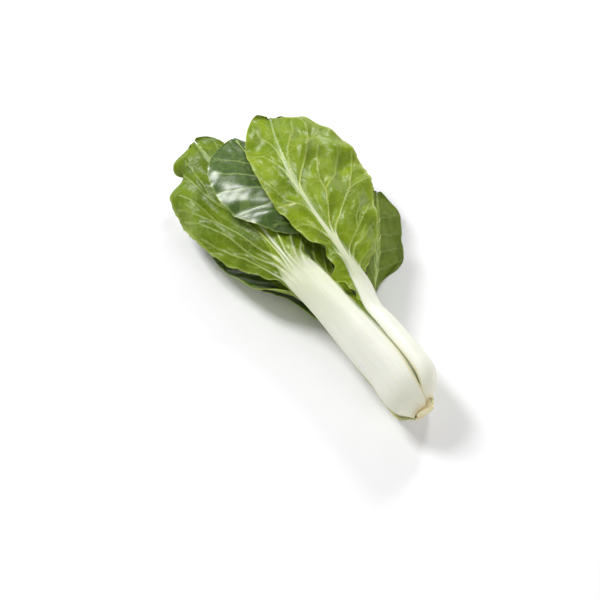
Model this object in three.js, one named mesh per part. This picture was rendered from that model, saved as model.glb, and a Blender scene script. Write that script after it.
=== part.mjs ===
// A head of white-stemmed bok choy lying on its side: nine leaves in a spiral round a short cut stem.
// Units are millimetres, +Z up. The stem end points to -Y and the leaf tips to +Y.
// The origin is on the surface that the head lies on, under the middle of its bounding box.
import * as THREE from "three";
import { mergeVertices } from "three/addons/utils/BufferGeometryUtils.js";

// Driving dimensions
const HEAD_RADIUS = 21; // of the bulb, at its widest
const GAP = 0.3; // between neighbouring pieces
const BLADE_THICKNESS = 0.8;
const STALK_EDGE = 1.2; // thickness of a stalk's thin side edge
const RIB_END = 0.86; // share of the blade's length where its midrib fades into the lamina
const TIP_WIDTH = 0.05; // share of the blade's half width that is left at its very tip
const NECK = 70; // distance along the head where the leaves part and run their own way
const HEADWARDS = [-0.1, 1, 0.06]; // the way that the stalks point below the neck

// The line through the middle of the head, from the cut face to the neck: distance along it, then x, y, z.
const AXIS = [
  [0, -5, -122.5, 17],
  [23, -2.5, -98, 20.5],
  [45, -4, -76, 20.5],
  [NECK, -6, -51, 21],
];

// Radius of the head along its axis as a share of HEAD_RADIUS: a blunt foot and the long slim bulb.
const BULB = [
  [0, 0.4],
  [3, 0.68],
  [7, 0.88],
  [12, 0.97],
  [19, 1.0],
  [28, 1.0],
  [56, 1.0],
  [NECK, 0.98],
];

// Half width and thickness of a stalk from its foot to the neck, as shares of its own largest.
const STALK_SHAPE = [
  { along: 0, width: 0.4, thick: 0.4 },
  { along: 2.5, width: 0.63, thick: 0.54 },
  { along: 7, width: 0.86, thick: 0.78 },
  { along: 15, width: 0.98, thick: 0.96 },
  { along: 28, width: 1.0, thick: 1.0 },
  { along: 42, width: 1.0, thick: 1.0 },
  { along: 56, width: 0.96, thick: 0.96 },
  { along: NECK, width: 0.9, thick: 0.9 },
];

// The stem, a cone that the leaf feet stand on: distance along the axis and radius.
const STEM = [
  [0, 5.6],
  [2, 5.8],
  [8, 5.2],
  [14, 3.9],
  [19, 2.1],
  [21.5, 0.8],
];
const STEM_TIP = 22;
const FOOT_GAP = 0.5; // between the stem and the leaf feet
const SPREAD = 13; // distance over which a leaf leaves the stem and reaches its own level

// Each leaf, outermost first. azimuth is the side of the head that its stalk stands on (90 is up), level how
// far out it is at the bulb as a share of HEAD_RADIUS, cup the radius of its cross-section as a share of that
// distance, and foot where it leaves the stem. route runs from the neck to the tip: x, y, z, then the side that
// the back of the leaf faces, the half width of the white rib, and the curvature (1 / mm, towards the inner
// face) of the left and the right half. Each half of a blade starts at a share of the leaf's length, grows to
// its width at the share widest of the blade, the rounder the smaller base is, and has a few waves at its edge.
const LEAVES = [
  {
    name: "leaf_1",
    azimuth: 137,
    level: 1.0,
    cup: 0.92,
    foot: 0,
    width: 15.6,
    thick: 5,
    neck: 0.98,
    route: [
      [-22.5, -27, 37, 126, 12.6, 0.06, 0.05],
      [-24.5, -6, 38, 115, 10.4, 0.035, 0.03],
      [-26, 20, 38.5, 104, 4.2, 0.016, 0.014],
      [-27, 48, 38.5, 100, 2.7, 0.015, 0.014],
      [-27, 76, 37, 100, 1.9, 0.015, 0.014],
      [-26, 103, 34, 100, 1.2, 0.014, 0.014],
      [-25.5, 120, 31, 100, 0.8, 0.012, 0.012],
    ],
    blade: {
      left: { start: 0.44, width: 40, base: 0.95, widest: 0.62 },
      right: { start: 0.45, width: 21, base: 0.6, widest: 0.62 },
      ruffle: 2.4, waves: 3, phase: 0.4, pucker: 1.1, wing: 1.2,
    },
    stalkGrid: [8, 9],
    bladeGrid: [20, 6],
  },
  {
    name: "leaf_2",
    azimuth: 267.5,
    level: 1.0,
    cup: 0.92,
    foot: 1.2,
    width: 17.4,
    thick: 4.8,
    neck: 0.94,
    route: [
      [-8, -27, 1.4, 269, 9.4, 0.05, 0.05],
      [-6, 2, 1.4, 270, 5.6, 0.01, 0.01],
      [-3, 32, 1.5, 270, 3.2, -0.003, -0.003],
      [0, 60, 1.6, 270, 2.0, -0.003, -0.003],
      [2, 88, 2.2, 270, 0.8, -0.003, -0.003],
    ],
    blade: {
      left: { start: 0.44, width: 31, base: 0.7, widest: 0.52 },
      right: { start: 0.42, width: 36, base: 0.55, widest: 0.52 },
      ruffle: 1.5, waves: 3, phase: 0.1, pucker: 0.5, wing: 1,
    },
    stalkGrid: [8, 8],
    bladeGrid: [16, 5],
  },
  {
    name: "leaf_3",
    azimuth: 46,
    level: 0.886,
    cup: 0.72,
    foot: 3.4,
    width: 13.6,
    thick: 4.8,
    neck: 0.92,
    route: [
      [4.8, -30.5, 41, 72, 5, 0.07, 0.026],
      [3.6, -10.5, 47, 83, 3.6, 0.03, 0.017],
      [2, 13.5, 52, 85, 2.9, 0.015, 0.012],
      [3, 37, 54.5, 86, 2.3, 0.011, 0.011],
      [6.5, 59, 54, 87, 2.0, 0.011, 0.01],
      [12.5, 80, 51.5, 88, 1.4, 0.011, 0.01],
      [20, 99.5, 47.5, 90, 0.8, 0.011, 0.01],
    ],
    blade: {
      left: { start: 0.335, width: 21, base: 1.15, widest: 0.75 },
      right: { start: 0.405, width: 57, base: 0.7, widest: 0.55 },
      ruffle: 2.0, waves: 3, phase: 0.75, pucker: 1.2, wing: 3.2,
    },
    stalkGrid: [8, 8],
    bladeGrid: [22, 6],
  },
  {
    name: "leaf_4",
    azimuth: 198,
    level: 0.848,
    cup: 0.64,
    foot: 4.2,
    width: 12.8,
    thick: 4.2,
    neck: 0.95,
    route: [
      [-22, -30, 17, 205, 7.6, 0.06, 0.06],
      [-28, -6, 14.5, 235, 5, 0.03, 0.03],
      [-34, 19, 11.5, 258, 3, 0.006, 0.002],
      [-38, 43, 9.5, 266, 1.9, 0.004, 0.002],
      [-41, 65, 8.5, 268, 0.8, 0.004, 0.002],
    ],
    blade: {
      left: { start: 0.44, width: 19, base: 0.9, widest: 0.56 },
      right: { start: 0.47, width: 19, base: 1.0, widest: 0.56 },
      ruffle: 1.2, waves: 2.5, phase: 0.3, pucker: 0.6, wing: 1,
    },
    stalkGrid: [6, 8],
    bladeGrid: [14, 4],
  },
  {
    name: "leaf_5",
    azimuth: 335,
    level: 0.79,
    cup: 0.56,
    foot: 6.4,
    width: 12.6,
    thick: 4.2,
    neck: 0.95,
    route: [
      [14, -37, 14.5, 350, 7.4, 0.06, 0.03],
      [25, -23, 15.5, 12, 4.6, 0.04, 0.01],
      [37.5, -5, 16.5, 38, 2.8, 0.022, 0.009],
      [50, 14, 17, 48, 1.7, 0.018, 0.009],
      [61, 32, 16.5, 52, 0.8, 0.012, 0.01],
    ],
    blade: {
      left: { start: 0.42, width: 20, base: 0.7, widest: 0.45 },
      right: { start: 0.43, width: 29, base: 0.5, widest: 0.42 },
      ruffle: 1.6, waves: 2.5, phase: 0.9, pucker: 0.8, wing: 1.5,
    },
    stalkGrid: [6, 8],
    bladeGrid: [15, 4],
  },
  {
    name: "leaf_6",
    azimuth: 95,
    level: 0.667,
    cup: 0.78,
    foot: 7.2,
    width: 9.8,
    thick: 3.7,
    neck: 0.9,
    route: [
      [-7, -30, 30.5, 94, 5.6, 0.06, 0.06],
      [-9, -6, 31, 94, 4, 0.03, 0.03],
      [-11, 18, 30, 95, 2.6, 0.008, 0.008],
      [-13, 42, 28, 96, 1.6, 0.008, 0.008],
      [-15, 62, 26.5, 96, 0.8, 0.008, 0.008],
    ],
    blade: {
      left: { start: 0.42, width: 17, base: 1.0, widest: 0.56 },
      right: { start: 0.44, width: 15, base: 1.0, widest: 0.56 },
      ruffle: 0.9, waves: 2, phase: 0.2, pucker: 0.5, wing: 1,
    },
    stalkGrid: [6, 7],
    bladeGrid: [12, 4],
  },
  {
    name: "leaf_7",
    azimuth: 238,
    level: 0.571,
    cup: 0.8,
    foot: 8.6,
    width: 8.8,
    thick: 3.4,
    neck: 0.9,
    route: [
      [-12, -32, 14.5, 240, 4.8, 0.06, 0.06],
      [-14.5, -8, 15, 252, 3.5, 0.03, 0.03],
      [-16, 16, 16, 262, 2.4, 0.006, 0.006],
      [-18, 40, 16.5, 266, 1.5, 0.006, 0.006],
      [-20, 58, 16, 266, 0.8, 0.006, 0.006],
    ],
    blade: {
      left: { start: 0.44, width: 15, base: 1.0, widest: 0.56 },
      right: { start: 0.44, width: 15, base: 1.0, widest: 0.56 },
      ruffle: 0.9, waves: 2, phase: 0.6, pucker: 0.5, wing: 1,
    },
    stalkGrid: [4, 7],
    bladeGrid: [12, 3],
  },
  {
    name: "leaf_8",
    azimuth: 16,
    level: 0.514,
    cup: 0.76,
    foot: 10,
    width: 7.4,
    thick: 3.2,
    neck: 0.9,
    route: [
      [4.5, -33, 29, 345, 4.4, 0.07, 0.07],
      [3, -13, 36, 316, 3.4, 0.03, 0.03],
      [-1.5, 6, 42.5, 290, 2.5, 0.0, 0.0],
      [-5, 28, 45.2, 274, 1.9, 0.0, -0.006],
      [-7, 52, 46.2, 270, 1.5, 0.0, -0.007],
      [-7.5, 76, 45.4, 270, 1.1, 0.0, -0.008],
      [-7.5, 98, 43.5, 270, 0.7, 0.0, -0.008],
    ],
    blade: {
      left: { start: 0.6, width: 7, base: 0.7, widest: 0.5 },
      right: { start: 0.59, width: 33, base: 0.7, widest: 0.58 },
      ruffle: 1.1, waves: 2.5, phase: 0.2, pucker: 1.1, wing: 0.5,
    },
    stalkGrid: [4, 9],
    bladeGrid: [16, 5],
  },
  {
    name: "leaf_9",
    azimuth: 152,
    level: 0.352,
    cup: 0.8,
    foot: 11.4,
    width: 5.2,
    thick: 2.6,
    neck: 0.9,
    route: [
      [-6, -32, 23, 115, 3.4, 0.08, 0.08],
      [0, -8, 24.5, 88, 2.6, 0.03, 0.03],
      [6, 12, 26, 76, 1.8, 0.008, 0.01],
      [9, 32, 26.5, 74, 0.8, 0.008, 0.01],
    ],
    blade: {
      left: { start: 0.5, width: 12, base: 1.0, widest: 0.56 },
      right: { start: 0.5, width: 13, base: 1.0, widest: 0.56 },
      ruffle: 0.7, waves: 2, phase: 0.4, pucker: 0.4, wing: 0.5,
    },
    stalkGrid: [4, 6],
    bladeGrid: [10, 3],
  },
];

const clamp01 = (x) => Math.min(1, Math.max(0, x));
const smooth = (x) => clamp01(x) ** 2 * (3 - 2 * clamp01(x));

// Straight-line interpolation in a list of [position, value, ...] rows.
function lookUp(rows, at) {
  let i = 0;
  while (i < rows.length - 2 && at > rows[i + 1][0]) i++;
  const [a, b] = [rows[i], rows[i + 1]];
  const share = clamp01((at - a[0]) / (b[0] - a[0]));
  return a.slice(1).map((v, k) => v + (b[k + 1] - v) * share);
}

// Smooth (Catmull-Rom) interpolation in a list of rows, at a row number that may be a fraction.
function blendRows(rows, at) {
  const i = Math.min(rows.length - 2, Math.max(0, Math.floor(at)));
  const s = at - i;
  const [a, b] = [rows[i], rows[i + 1]];
  const before = i > 0 ? rows[i - 1] : a.map((v, k) => 2 * v - b[k]);
  const after = i + 2 < rows.length ? rows[i + 2] : b.map((v, k) => 2 * v - a[k]);
  return a.map((v, k) => {
    const cubic = 3 * (v - b[k]) + after[k] - before[k];
    const square = 2 * before[k] - 5 * v + 4 * b[k] - after[k];
    return v + 0.5 * s * (b[k] - before[k] + s * (square + s * cubic));
  });
}

// The unit vector that points away from the head's middle on one side; 0 is +X and 90 is up.
function outward(degrees) {
  const angle = THREE.MathUtils.degToRad(degrees);
  return new THREE.Vector3(Math.cos(angle), 0, Math.sin(angle));
}

const axisPoint = (along) => new THREE.Vector3(...lookUp(AXIS, along));

// The rows of one leaf from foot to tip: x, y, z, facing, half width of the white part, thickness, curvatures.
function stationsOf(leaf) {
  const rows = STALK_SHAPE.map(({ along, width, thick }) => {
    const at = leaf.foot + (along * (NECK - leaf.foot)) / NECK;
    const depth = leaf.thick * thick;
    const standing = lookUp(STEM, leaf.foot)[0] + FOOT_GAP + depth;
    const nested = leaf.level * HEAD_RADIUS * lookUp(BULB, at)[0];
    const risen = clamp01(along / SPREAD);
    const radius = standing + (nested - standing) * risen * (2 - risen);
    const share = along / NECK;
    const point = axisPoint(at).addScaledVector(outward(leaf.azimuth), radius);
    const halfWidth = leaf.width * width * (1 + (leaf.neck - 1) * share);
    const section = leaf.cup * radius;
    return [point.x, point.y, point.z, leaf.azimuth, halfWidth, depth, 1 / section, 1 / section];
  });
  const neckDepth = rows[rows.length - 1][5];
  leaf.route.forEach(([x, y, z, facing, rib, left, right], i) => {
    const turned = facing - 360 * Math.round((facing - leaf.azimuth) / 360);
    const share = (i + 1) / leaf.route.length;
    const depth = BLADE_THICKNESS + 0.6 + (neckDepth - BLADE_THICKNESS - 0.6) * (1 - share) ** 1.3;
    rows.push([x, y, z, turned, rib, depth, left, right]);
  });
  return rows;
}

// A leaf as a curve with a frame: where it runs, which way its back faces, and how its halves bend.
class LeafForm {
  constructor(leaf) {
    this.leaf = leaf;
    this.rows = stationsOf(leaf);
    const steps = 200;
    this.table = [[0, 0]];
    let last = new THREE.Vector3(...this.rows[0]);
    for (let i = 1; i <= steps; i++) {
      const at = ((this.rows.length - 1) * i) / steps;
      const here = new THREE.Vector3(...blendRows(this.rows, at));
      this.table.push([this.table[i - 1][0] + here.distanceTo(last), at]);
      last = here;
    }
    this.length = this.table[steps][0];
  }

  // The frame at a share of the leaf's length.
  at(share) {
    const row = lookUp(this.table, clamp01(share) * this.length)[0];
    const values = blendRows(this.rows, row);
    const point = new THREE.Vector3(...values);
    const step = 0.02;
    const before = new THREE.Vector3(...blendRows(this.rows, Math.max(0, row - step)));
    const after = new THREE.Vector3(...blendRows(this.rows, Math.min(this.rows.length - 1, row + step)));
    const run = after.sub(before).normalize();
    const plane = new THREE.Vector3(...HEADWARDS).normalize().lerp(run, smooth((row - 6) / 2)).normalize();
    const inner = outward(values[3]).negate();
    inner.addScaledVector(plane, -inner.dot(plane)).normalize();
    const side = new THREE.Vector3().crossVectors(inner, plane);
    return { point, inner, side, white: values[4], depth: values[5], left: values[6], right: values[7] };
  }

  side(right) {
    return right ? this.leaf.blade.right : this.leaf.blade.left;
  }

  // Share of the blade's length on one side, at a share of the leaf's length.
  bladeShare(share, right) {
    const { start } = this.side(right);
    return (share - start) / (1 - start);
  }

  // Half width of the whole leaf on one side, with the small wings of leaf that run down the stalk.
  halfWidth(share, right) {
    const { width, base, widest } = this.side(right);
    const { wing } = this.leaf.blade;
    const along = clamp01(this.bladeShare(share, right));
    const white = this.at(share).white;
    const beyond = clamp01((along - widest) / (1 - widest));
    const rising = (1 - (1 - Math.min(1, along / widest)) ** 2) ** base;
    const outline = along < widest ? rising : Math.sqrt(1 - beyond ** 2.4);
    const winged = smooth(along / 0.04) * (1 - smooth((along - 0.12) / 0.15));
    const lobes = wing * winged * (0.6 + 0.4 * Math.sin(95 * along));
    const rib = white * 0.9 * (1 - smooth((along - 0.7) / 0.3));
    return Math.max(rib + TIP_WIDTH * width, width * outline) + lobes;
  }

  // A point of the leaf's back (outer) face, lateral millimetres to the right of the midline.
  back(share, lateral) {
    const frame = this.at(share);
    const right = lateral > 0;
    const bend = right ? frame.right : frame.left;
    const reach = Math.abs(lateral);
    const angle = bend * reach;
    const across = Math.abs(bend) < 1e-5 ? reach : Math.sin(angle) / bend;
    const drop = Math.abs(bend) < 1e-5 ? 0 : (1 - Math.cos(angle)) / bend;
    const lift = this.relief(share, lateral);
    return frame.point
      .addScaledVector(frame.side, right ? across : -across)
      .addScaledVector(frame.inner, drop + lift);
  }

  // Ruffled edge and the pillows between the side veins, as a shift towards the inner face.
  relief(share, lateral) {
    const { ruffle, waves, phase, pucker } = this.leaf.blade;
    const right = lateral > 0;
    const along = this.bladeShare(share, right);
    if (along <= 0) return 0;
    const across = clamp01(Math.abs(lateral) / this.halfWidth(share, right));
    const rise = smooth(along / 0.25);
    const wave = Math.sin(2 * Math.PI * (waves * along + phase + (right ? 0.5 : 0)));
    const vein = 6.5 * (along - 0.3 * across) + (right ? 0.5 : 0);
    const pillow = Math.cos(2 * Math.PI * vein) * smooth(across / 0.3) * (1 - 0.6 * across);
    return rise * (ruffle * across ** 2.2 * wave + 0.5 * pucker * pillow);
  }
}

// A closed solid from a sheet of quads: back points, inner points, and the quads that join them.
// Both faces are split along the same diagonal, so they never cross.
function solidFromSheet(backs, inners, quads) {
  const positions = [];
  const corner = (list, i) => positions.push(...list[i].toArray());
  const triangle = (list, a, b, c) => [a, b, c].forEach((i) => corner(list, i));
  const edges = new Map();
  for (const [a, b, c, d] of quads) {
    triangle(backs, a, b, c);
    triangle(backs, a, c, d);
    triangle(inners, a, c, b);
    triangle(inners, a, d, c);
    for (const [from, to] of [[a, b], [b, c], [c, d], [d, a]]) {
      const reverse = to + "_" + from;
      if (edges.has(reverse)) edges.delete(reverse);
      else edges.set(from + "_" + to, [from, to]);
    }
  }
  for (const [from, to] of edges.values()) {
    const rim = [backs[from], inners[from], inners[to], backs[from], inners[to], backs[to]];
    rim.forEach((point) => positions.push(...point.toArray()));
  }
  const loose = new THREE.BufferGeometry();
  loose.setAttribute("position", new THREE.Float32BufferAttribute(positions, 3));
  const solid = mergeVertices(loose, 1e-4);
  solid.computeVertexNormals();
  return solid;
}

// The two face points of the sheet at one place: its back, and the inner face depth millimetres along the
// sheet's own normal. Nothing lies under the surface, so what would dip below it is pressed flat on it.
function facePoints(form, share, lateral, depth) {
  const step = 0.004;
  const reach = 0.6;
  const [lower, upper] = [Math.max(0, share - step), Math.min(1, share + step)];
  const along = form.back(upper, lateral).sub(form.back(lower, lateral));
  const across = form.back(share, lateral + reach).sub(form.back(share, lateral - reach));
  const normal = across.cross(along).normalize();
  if (normal.dot(form.at(share).inner) < 0) normal.negate();
  const back = form.back(share, lateral);
  const inner = back.clone().addScaledVector(normal, depth);
  const lift = Math.max(0, -back.z, -inner.z);
  back.z += lift;
  inner.z += lift;
  return [back, inner];
}

// Where the cross rows of a blade are, as shares of the leaf's length, and the row at which its rib ends.
function bladeRows(form) {
  const [count] = form.leaf.bladeGrid;
  const start = Math.min(form.side(false).start, form.side(true).start);
  const rows = [];
  for (let j = 0; j <= count; j++) rows.push(start + (1 - start) * (1 - (1 - j / count) ** 1.4));
  const ribEnd = form.side(false).start + (1 - form.side(false).start) * RIB_END;
  return { rows, ribRow: rows.filter((share) => share <= ribEnd).length - 1 };
}

// The white stalk with its midrib: a thick crescent at the foot that narrows to a rib on the back of the blade.
function stalkGeometry(form) {
  const [columns, count] = form.leaf.stalkGrid;
  const { rows: upper, ribRow } = bladeRows(form);
  const rows = [];
  for (let j = 0; j < count; j++) rows.push(upper[0] * (j / count) ** 1.2);
  rows.push(...upper.slice(0, ribRow), upper[ribRow] - GAP / form.length);
  const backs = [];
  const inners = [];
  const quads = [];
  rows.forEach((share, j) => {
    const { white, depth } = form.at(share);
    for (let i = 0; i <= columns; i++) {
      const u = (2 * i) / columns - 1;
      const crescent = STALK_EDGE + (depth - STALK_EDGE) * (1 - u * u);
      const thickness = Math.max(BLADE_THICKNESS, Math.min(crescent, depth));
      const [back, inner] = facePoints(form, share, u * white, thickness);
      backs.push(back);
      inners.push(inner);
      if (i && j) {
        const k = j * (columns + 1) + i;
        quads.push([k - columns - 2, k - columns - 1, k, k - 1]);
      }
    }
  });
  return solidFromSheet(backs, inners, quads);
}

// The green blade: two halves beside the rib, joined past the rib's end, ruffled at the edge.
function bladeGeometry(form) {
  const [, halfColumns] = form.leaf.bladeGrid;
  const { rows, ribRow } = bladeRows(form);
  const columns = 2 * halfColumns + 2;
  const backs = [];
  const inners = [];
  const quads = [];
  rows.forEach((share, j) => {
    const white = form.at(share).white + GAP;
    for (const right of [false, true]) {
      const edge = Math.max(form.halfWidth(share, right), white + 1.0);
      const from = j > ribRow ? Math.min(white, 0.3 * edge) : white;
      for (let i = 0; i <= halfColumns; i++) {
        const out = right ? i / halfColumns : 1 - i / halfColumns;
        const lateral = (from + (edge - from) * out) * (right ? 1 : -1);
        const [back, inner] = facePoints(form, share, lateral, BLADE_THICKNESS);
        backs.push(back);
        inners.push(inner);
      }
    }
    if (!j) return;
    for (let i = 1; i < columns; i++) {
      const middle = i === halfColumns + 1;
      if (middle && j <= ribRow) continue;
      if (!middle && rows[j - 1] < form.side(i > halfColumns).start) continue;
      const k = j * columns + i;
      quads.push([k - columns - 1, k - columns, k, k - 1]);
    }
  });
  return solidFromSheet(backs, inners, quads);
}

// The short stem: its cut face at the foot, the cone that the leaf feet stand on above it.
function stemGeometry() {
  const profile = [[0, 0], ...STEM, [STEM_TIP, 0]].map(([along, radius]) => new THREE.Vector2(radius, along));
  const lathe = new THREE.LatheGeometry(profile, 18);
  const direction = axisPoint(23).sub(axisPoint(0)).normalize();
  lathe.applyQuaternion(new THREE.Quaternion().setFromUnitVectors(new THREE.Vector3(0, 1, 0), direction));
  return lathe.translate(...axisPoint(0).toArray());
}

const STALK_LOOK = { color: 0xeef0e0, roughness: 0.42 };
const BLADE_LOOK = { color: 0x6c8a22, roughness: 0.5, side: THREE.DoubleSide };
const STEM_LOOK = { color: 0xe2d7a8, roughness: 0.7 };

function namedMesh(name, geometry, look) {
  const mesh = new THREE.Mesh(geometry, new THREE.MeshStandardMaterial({ ...look, metalness: 0 }));
  mesh.name = name;
  return mesh;
}

const head = new THREE.Group();
head.add(namedMesh("stem", stemGeometry(), STEM_LOOK));
for (const leaf of LEAVES) {
  const form = new LeafForm(leaf);
  head.add(namedMesh(leaf.name + "_stalk", stalkGeometry(form), STALK_LOOK));
  head.add(namedMesh(leaf.name + "_blade", bladeGeometry(form), BLADE_LOOK));
}

// Centre the head over the origin.
const box = new THREE.Box3().setFromObject(head);
const middle = box.getCenter(new THREE.Vector3());
head.position.set(-middle.x, -middle.y, -box.min.z);

export default head;
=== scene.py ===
"""Looks of a head of white-stemmed bok choy that lies on its side: nine leaves on a short stem.

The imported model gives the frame. The stalk and the blade of each leaf are modelled again as fine
sheets along the same lines as the solids, with veins, puckers and a waved edge, and dressed with
procedural materials. Lengths are in millimetres in the head's own place until a mesh is placed,
which puts it in metres in the frame.
"""

import logging
import math
from dataclasses import dataclass, field
from enum import Enum
from typing import ClassVar

import bpy
import numpy as np
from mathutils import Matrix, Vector


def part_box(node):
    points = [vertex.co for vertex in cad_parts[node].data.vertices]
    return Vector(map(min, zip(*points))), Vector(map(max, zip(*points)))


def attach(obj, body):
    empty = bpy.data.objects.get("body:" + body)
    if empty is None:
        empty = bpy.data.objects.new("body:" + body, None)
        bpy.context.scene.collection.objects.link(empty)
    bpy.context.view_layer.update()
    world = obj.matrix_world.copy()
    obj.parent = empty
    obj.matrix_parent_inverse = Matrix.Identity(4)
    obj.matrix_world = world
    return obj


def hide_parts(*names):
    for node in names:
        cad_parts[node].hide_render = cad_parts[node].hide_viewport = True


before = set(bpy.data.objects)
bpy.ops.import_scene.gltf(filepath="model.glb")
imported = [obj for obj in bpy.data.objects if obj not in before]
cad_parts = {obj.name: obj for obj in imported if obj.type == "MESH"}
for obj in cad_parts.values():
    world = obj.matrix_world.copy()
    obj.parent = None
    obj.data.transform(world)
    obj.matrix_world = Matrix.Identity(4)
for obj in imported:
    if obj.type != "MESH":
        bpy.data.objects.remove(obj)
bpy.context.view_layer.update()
LOG = logging.getLogger("bok_choy")

MM = 0.001
UV_PER_MM = 0.01
BODY = "root"
LEVEL = 1e-6
STRAIGHT = 1e-5

# The head: the way it points, the largest distance of a stalk's back from its line, the end of the
# stalks' bundle, the length over which a stalk swings out from the stem, and its gap to the stem.
HEADWARDS = np.array([-0.1, 1.0, 0.06])
HEAD_RADIUS = 21.0
NECK = 70.0
SPREAD = 13.0
FOOT_GAP = 0.5

# The stem: the length of the head's line that sets its slope, where it ends in a point, the
# radius of that point, and how many sides its solid has.
STEM_SPAN = 23.0
STEM_TIP = 22.0
STEM_POINT = 0.05
STEM_SIDES = 18

# The sheets: thickness of the solids' blades, of the finished leaf beside its rib, how much thicker
# the end of a solid's rib is, and thickness of a stalk at its sides.
BLADE_THICKNESS = 0.8
FINE_THICKNESS = 0.75
RIB_EXTRA = 0.6
STALK_EDGE = 1.2

# Least width of a blade as a share of its largest, and half widths of the midrib in a blade.
TIP_WIDTH = 0.05
RIB_WIDTH = 2.9
RIB_TIP = 0.35

# Side veins: their radius as a share of the listed one, and the least radius that is drawn.
VEIN_WIDTH = 0.66
VEIN_DRAWN = 0.5

# Rows of the head's line: distance from the foot, then x, y and z.
AXIS = np.array(
    [[0, -5, -122.5, 17], [23, -2.5, -98, 20.5], [45, -4, -76, 20.5], [NECK, -6, -51, 21]]
)
# Rows of the bulb's outline: distance from the foot, then the radius as a share of the largest.
BULB = np.array(
    [[0, 0.4], [3, 0.68], [7, 0.88], [12, 0.97], [19, 1.0], [28, 1.0], [56, 1.0], [NECK, 0.98]]
)
# Rows of a stalk: distance from the foot, then width and thickness as shares of the largest.
STALK_SHAPE = np.array(
    [
        [0, 0.4, 0.4],
        [2.5, 0.63, 0.54],
        [7, 0.86, 0.78],
        [15, 0.98, 0.96],
        [28, 1.0, 1.0],
        [42, 1.0, 1.0],
        [56, 0.96, 0.96],
        [NECK, 0.9, 0.9],
    ]
)
# Rows of the stem: distance from the cut, then the radius.
STEM = np.array([[0, 5.6], [2, 5.8], [8, 5.2], [14, 3.9], [19, 2.1], [21.5, 0.8]])

Colour = tuple[float, float, float]
Triple = tuple[float, float, float]
VeinRow = tuple[float | tuple[float, float], ...]


class Side(Enum):
    """The two halves of a blade, seen from its back with the tip up, with the sign of lateral."""

    LEFT = -1
    RIGHT = 1


@dataclass(frozen=True)
class Curl:
    """A part of a blade's margin that rolls over.

    Args:
        side: The half that it is on.
        at: Share of the blade's length at its middle.
        spread: Share of the blade's length over which it fades.
        reach: Width of the strip that rolls, in millimetres.
        turn: Angle that it rolls through, in radians, towards the inner face where positive.
    """

    side: Side
    at: float
    spread: float
    reach: float
    turn: float


@dataclass(frozen=True)
class HalfBlade:
    """One half of a blade.

    Args:
        start: Share of the leaf's length where it begins.
        width: Its largest width, in millimetres.
        base: The lower it is, the rounder the half's lower end is.
        widest: Share of the blade's length at which it is widest.
        veins: Side veins as (radius, (share of the blade's length, share of the half's width),
            ...), from the rib outwards.
        flaps: Lobes of the outline as (share of the blade's length, spread, size in millimetres).
    """

    start: float
    width: float
    base: float
    widest: float
    veins: tuple[VeinRow, ...] = ()
    flaps: tuple[Triple, ...] = ()


@dataclass(frozen=True)
class Leaf:
    """One leaf: where its stalk stands in the head, the line it runs along, and its blade.

    Args:
        name: Name of the leaf, as in the solids.
        azimuth: Side of the head that the stalk stands on; 90 is up.
        level: How far out it stands, as a share of the head's radius.
        cup: Radius of the stalk's cross-section as a share of that distance.
        foot: Where it leaves the stem, along the head.
        width: Half width of the stalk.
        thick: Thickness of the stalk.
        neck: Share of that width left at the neck.
        route: Rows from the neck to the tip: x, y, z, facing, half width of the rib, curvatures.
        left: The left half of the blade.
        right: The right half of the blade.
        waves: Ruffle height, number of waves, their phase, height of the pillows and of the low
            wings.
        grid: Columns of one blade half, rows of the blade, and columns of the stalk.
        curls: Parts of the margin that roll over.
        white_to: Shares of the leaf's length where the white of the stalk starts to end, and has
            ended.
        swell: Height of the wide, soft undulations of the blade.
        folds: Bulges of the blade: share of the leaf's length, place across, height to the back,
            size along and size across.
        puff: Height of the blade between its veins.
        slim: Width of the midrib in the blade, as a share of the usual one.
        fan: How far beside the stalk the veins are still white.
        notch: Depth of the notch at the tip.
        seed: Seed of its own irregularities.
    """

    name: str
    azimuth: float
    level: float
    cup: float
    foot: float
    width: float
    thick: float
    neck: float
    route: tuple[tuple[float, ...], ...]
    left: HalfBlade
    right: HalfBlade
    waves: tuple[float, float, float, float, float]
    grid: tuple[int, int, int] = (40, 130, 16)
    curls: tuple[Curl, ...] = ()
    white_to: tuple[float, float] = (0.4, 0.56)
    swell: float = 0.8
    folds: tuple[tuple[float, float, float, float, float], ...] = ()
    puff: float = 1.0
    slim: float = 1.0
    fan: float = 2.5
    notch: float = 0.0
    seed: int = 1


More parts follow.
